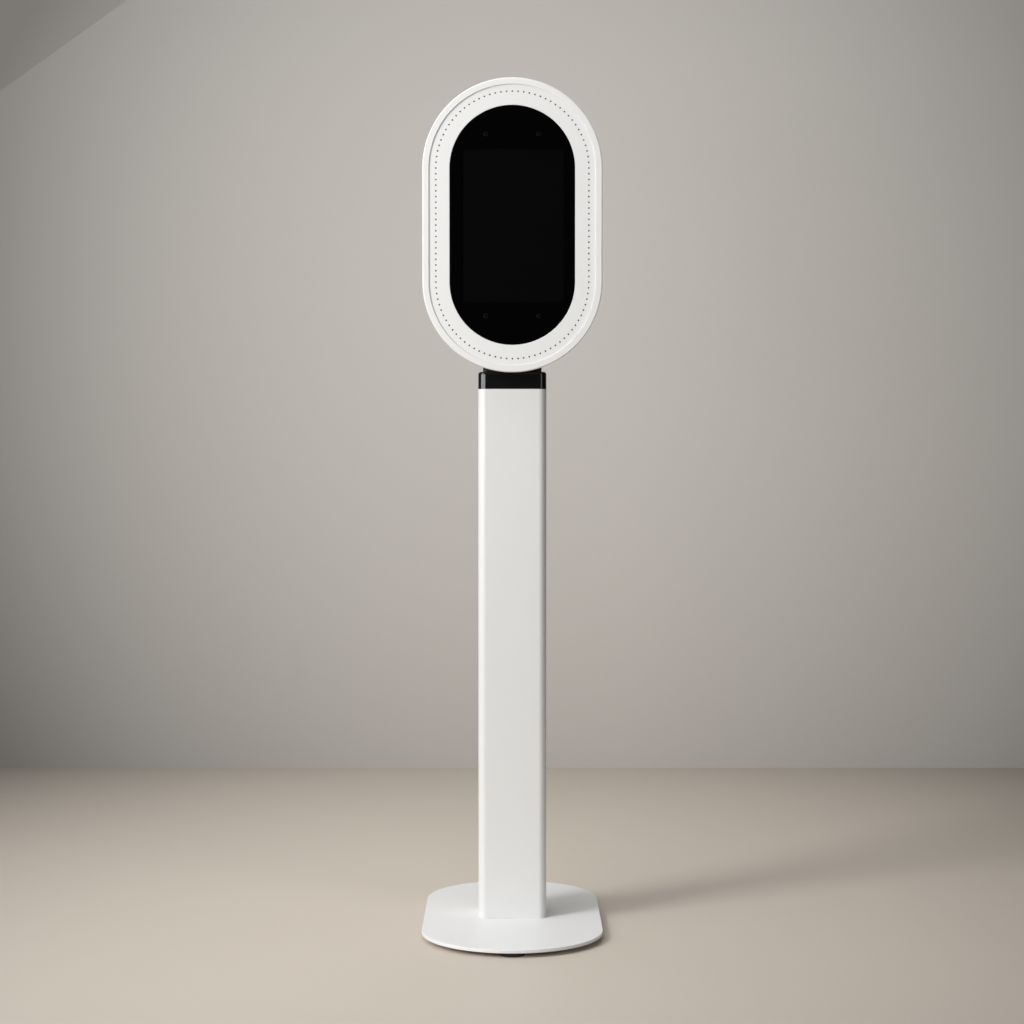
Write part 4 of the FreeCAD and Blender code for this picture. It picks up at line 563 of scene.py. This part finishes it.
zinc = metal("zinc_plate", (0.62, 0.63, 0.66), 0.30)
black_oxide = metal("black_oxide", (0.045, 0.045, 0.048), 0.36)
rearwards = (math.radians(-90), 0, 0)
forwards = (math.radians(90), 0, 0)
downwards = (math.radians(180), 0, 0)
socket_screws("hatch_screws", 0.004, 0.002, zinc, "zinc", "stand", rearwards)
socket_screws("neck_bolts", 0.008, 0.0044, black_oxide, "black_screw", "stand", rearwards)
socket_screws("cover_screws", 0.003, 0.003, black_oxide, "black_screw", "head", rearwards)
bezel_screw_black = coat("bezel_screw_black", (0.002, 0.002, 0.002), 0.5, grain=1400,
                         relief=0.03, specular=0.12)
socket_screws("bezel_screws", 0.004, 0.002, bezel_screw_black, "black_screw", "head", forwards,
              sunk=True)
socket_screws("base_bolts", 0.008, 0.0035, zinc, "zinc", "stand", downwards, sunk=True)
socket_screws("foot_screws", 0.004, 0.002, zinc, "zinc", "stand", downwards)
finish(black_oxide, "pivot_bolts")
finish(zinc, "supply_screws", "neck_nuts", "pivot_nuts", "bracket_bolts", "light_screws",
       "ring_screws", "clamp_screws", "spine_screws", "chassis_spacers", "door_pin")

# ---- Mains inlet and switch --------------------------------------------------------------
# A snap-in three-pin inlet, its mouth with two corners cut off, and a rocker switch under a
# raised frame. Both are moulded in black, and the pins are brass.
moulded_black = coat("moulded_black", (0.014, 0.014, 0.0145), 0.30, grain=1400, relief=0.10)
inlet_corner = 0.002
inlet_edge = 0.0005
mouth_corner = 0.0045
mouth_width = 0.024
mouth_height = 0.0165
mouth_depth = 0.017
body_gap = 0.0001
flange_thickness = 0.002
inlet_low, inlet_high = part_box("mains_inlet")
inlet_middle = (inlet_low + inlet_high) / 2
mouth_middle = inlet_high.y + flange_thickness - mouth_depth / 2
inlet = rounded_face("pin_inlet", inlet_high.x - inlet_low.x, inlet_high.z - inlet_low.z,
                     inlet_corner, (0, inlet_high.y - flange_thickness, inlet_middle.z),
                     math.radians(90))
extrude((0, flange_thickness, 0))
soften(inlet, inlet_edge)
select_by(inlet, "FACE", lambda face: face.normal.y < -mostly and len(face.verts) > corner_steps)
bpy.ops.mesh.inset(thickness=flange_lap + body_gap)
extrude((0, inlet_low.y - inlet_high.y + flange_thickness, 0))
bpy.ops.object.mode_set(mode="OBJECT")
bpy.ops.object.select_all(action="DESELECT")
bpy.ops.mesh.primitive_cube_add(size=1, location=(0, mouth_middle, inlet_middle.z))
mouth = bpy.context.object
mouth.scale = (mouth_width, mouth_depth, mouth_height)
bpy.ops.object.transform_apply(location=True, scale=True)
select_by(mouth, "EDGE", lambda edge: all(vert.co.z > inlet_middle.z for vert in edge.verts)
          and abs(edge.verts[0].co.x - edge.verts[1].co.x) < weld_distance)
bpy.ops.mesh.bevel(offset=mouth_corner, segments=1)
carve(inlet, mouth)
settle(inlet, moulded_black, "black_plastic", "stand", "mains_inlet")
pin_brass = metal("pin_brass", (0.75, 0.58, 0.30), 0.22)
finish(pin_brass, "inlet_pins")
finish(moulded_black, "power_switch", "power_rocker", "coupler_socket", "coupler_plug",
       "tablet_plug")

# ---- Collar ----------------------------------------------------------------------------
# A black moulding that caps the column: its outside follows the tube, its top edge is
# rounded, and a long spigot under it fills the tube. The neck passes through its slot.
collar_edge = 0.005
spigot_gap = 0.0002
neck_gap = 0.0001
neck_corner = 0.007
collar_edge_steps = 8
collar_black = coat("collar_black", (0.007, 0.007, 0.0072), 0.14, grain=1400, relief=0.03,
                    specular=0.42)
low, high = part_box("collar")
column_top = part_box("column_tube")[1].z
collar = rounded_face("moulded_collar", high.x - low.x, high.y - low.y, column_corner,
                      (0, 0, column_top))
extrude((0, 0, high.z - column_top))
select_by(collar, "EDGE", lambda edge: all(abs(vert.co.z - high.z) < weld_distance
                                           for vert in edge.verts))
bpy.ops.mesh.bevel(offset=collar_edge, segments=collar_edge_steps)
select_by(collar, "FACE", lambda face: face.normal.z < -mostly)
bpy.ops.mesh.inset(thickness=column_wall + spigot_gap)
extrude((0, 0, low.z - column_top))
bpy.ops.object.mode_set(mode="OBJECT")
neck_low, neck_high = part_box("neck_post")
slot_cutter = rounded_face("slot_cutter", neck_high.x - neck_low.x + 2 * neck_gap,
                           neck_high.y - neck_low.y + 2 * neck_gap, neck_corner,
                           (0, (neck_low.y + neck_high.y) / 2, low.z - collar_edge))
extrude((0, 0, high.z - low.z + 2 * collar_edge))
carve(collar, slot_cutter)
settle(collar, collar_black, "black_plastic", "stand", "collar")

# ---- Neck and tilt bracket ---------------------------------------------------------------
# A welded sheet box with a rounded top, and a bracket whose ears turn on it. Both are steel
# with a matt black powder coat.
neck_black = coat("neck_black", (0.008, 0.008, 0.008), 0.5, grain=1600, relief=0.15,
                  specular=0.3)
finish(neck_black, "neck_post", "tilt_bracket")

# ---- Head casing -------------------------------------------------------------------------
# A front housing with a raised lip, a flat face ring drilled for the lights, a deep rear
# cover and its service door, all moulded in the same satin white.
shell_white = coat("shell_white", (0.90, 0.90, 0.89), 0.34, grain=1500, relief=0.045,
                   mottle=0.006)
shell_angle = 32


def smoothed(node, body):
    """A merged copy of a CAD shell with soft shading, so that its rounds look round."""
    shell = bpy.data.objects.new(f"{node}_smooth", nodes[node].data.copy())
    shell.matrix_world = nodes[node].matrix_world.copy()
    bpy.context.scene.collection.objects.link(shell)
    settle(shell, shell_white, "white_shell", body, node, smooth=shell_angle)


finish(shell_white, "face_ring")
for node, body in (("head_housing", "head"), ("rear_cover", "head"), ("service_door", "door")):
    smoothed(node, body)

# ---- Bezel and screen ----------------------------------------------------------------------
# A black acrylic bezel with an anti-glare coat over a tablet whose glass lies just behind it
# and is a shade lighter than the bezel.
bezel_black = coat("bezel_black", (0.0012, 0.0012, 0.0013), 0.12, grain=20, relief=0.0,
                   specular=0.10)
low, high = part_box("bezel")
bezel_steps = 192
bezel_edge = 0.0006
bezel_edge_steps = 3
bezel_gap = 0.0001
window_corner = 0.002
screen_width = 0.183
screen_height = 0.274
camera_window = 0.005
drill_steps = 40
drill_length = 0.02
middle = (low + high) / 2
bezel = racetrack("bezel_sheet", high.x - low.x, high.z - low.z, (0, low.y, middle.z),
                  bezel_steps, math.radians(90))
extrude((0, high.y - low.y, 0))
select_by(bezel, "EDGE", lambda edge: all(abs(vert.co.y - low.y) < weld_distance
                                          for vert in edge.verts))
bpy.ops.mesh.bevel(offset=bezel_edge, segments=bezel_edge_steps)
cut_out(bezel, Vector((-screen_width / 2, low.y - bezel_edge, middle.z - screen_height / 2)),
        Vector((screen_width / 2, high.y + bezel_edge, middle.z + screen_height / 2)),
        window_corner)
lens_low, lens_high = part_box("camera_lens")
lens_middle = (lens_low + lens_high) / 2
holes = [(lens_middle.x, lens_middle.z, camera_window / 2)]
for screw_low, screw_high in solids_of("bezel_screws"):
    holes.append(((screw_low.x + screw_high.x) / 2, (screw_low.z + screw_high.z) / 2,
                  (screw_high.x - screw_low.x) / 2 + bezel_gap))
for across, level, radius in holes:
    bpy.ops.object.mode_set(mode="OBJECT")
    bpy.ops.object.select_all(action="DESELECT")
    bpy.ops.mesh.primitive_cylinder_add(vertices=drill_steps, radius=radius,
                                        depth=drill_length,
                                        location=(across, middle.y, level),
                                        rotation=(math.radians(90), 0, 0))
    carve(bezel, bpy.context.object)
settle(bezel, bezel_black, "bezel_black", "head", "bezel")
screen_glass = coat("screen_glass", (0.0026, 0.0027, 0.0027), 0.10, grain=20, relief=0.0,
                    specular=0.14)
finish(screen_glass, "tablet_glass", "camera_lens")

# ---- Lock --------------------------------------------------------------------------------
# A cam lock of the small cabinet kind: a plated barrel held in the door, with a plug that
# the key turns and a flat cam behind it.
finish(zinc, "lock_barrel", "lock_plug", "lock_cam")

# ---- Light ring ----------------------------------------------------------------------------
# A dark circuit board with 124 small lights, each behind its own hole in the face ring.
# They are switched off, and their lenses are coloured near black, partly their own dark tone and
# partly painted shade for the inside of each hole, so that each hole looks dark grey.
board_black = coat("board_black", (0.01, 0.016, 0.012), 0.4, grain=700, relief=0.05)
finish(board_black, "light_board", "driver_board")
# Lens colour: painted shade for the holes on top of the lenses' own dark tone.
lens_tone_and_hole_shade = coat("lens_tone_and_hole_shade", (0.022, 0.021, 0.018), 0.3, grain=900, relief=0.05)
finish(lens_tone_and_hole_shade, "ring_lights")

# ---- Tablet, chassis and electronics -----------------------------------------------------
# An anodised tablet clamped to a plated chassis, the power supply in the column, the driver
# board in the head, and the cables between them.
sheet_steel = metal("sheet_steel", (0.52, 0.53, 0.55), 0.38)
finish(sheet_steel, "column_foot", "supply_bracket", "display_chassis", "tablet_clamps",
       "spine_plate", "power_supply", "driver_parts")
anodised = metal("anodised", (0.50, 0.51, 0.53), 0.34)
finish(anodised, "tablet_case", "tablet_button")
nylon = coat("nylon", (0.72, 0.71, 0.66), 0.5, grain=900, relief=0.05)
finish(nylon, "friction_washers", "driver_posts")
cable_sleeve = coat("cable_sleeve", (0.02, 0.02, 0.02), 0.5, grain=1100, relief=0.08)
finish(cable_sleeve, "mains_leads", "supply_cable", "head_lead", "tablet_lead")
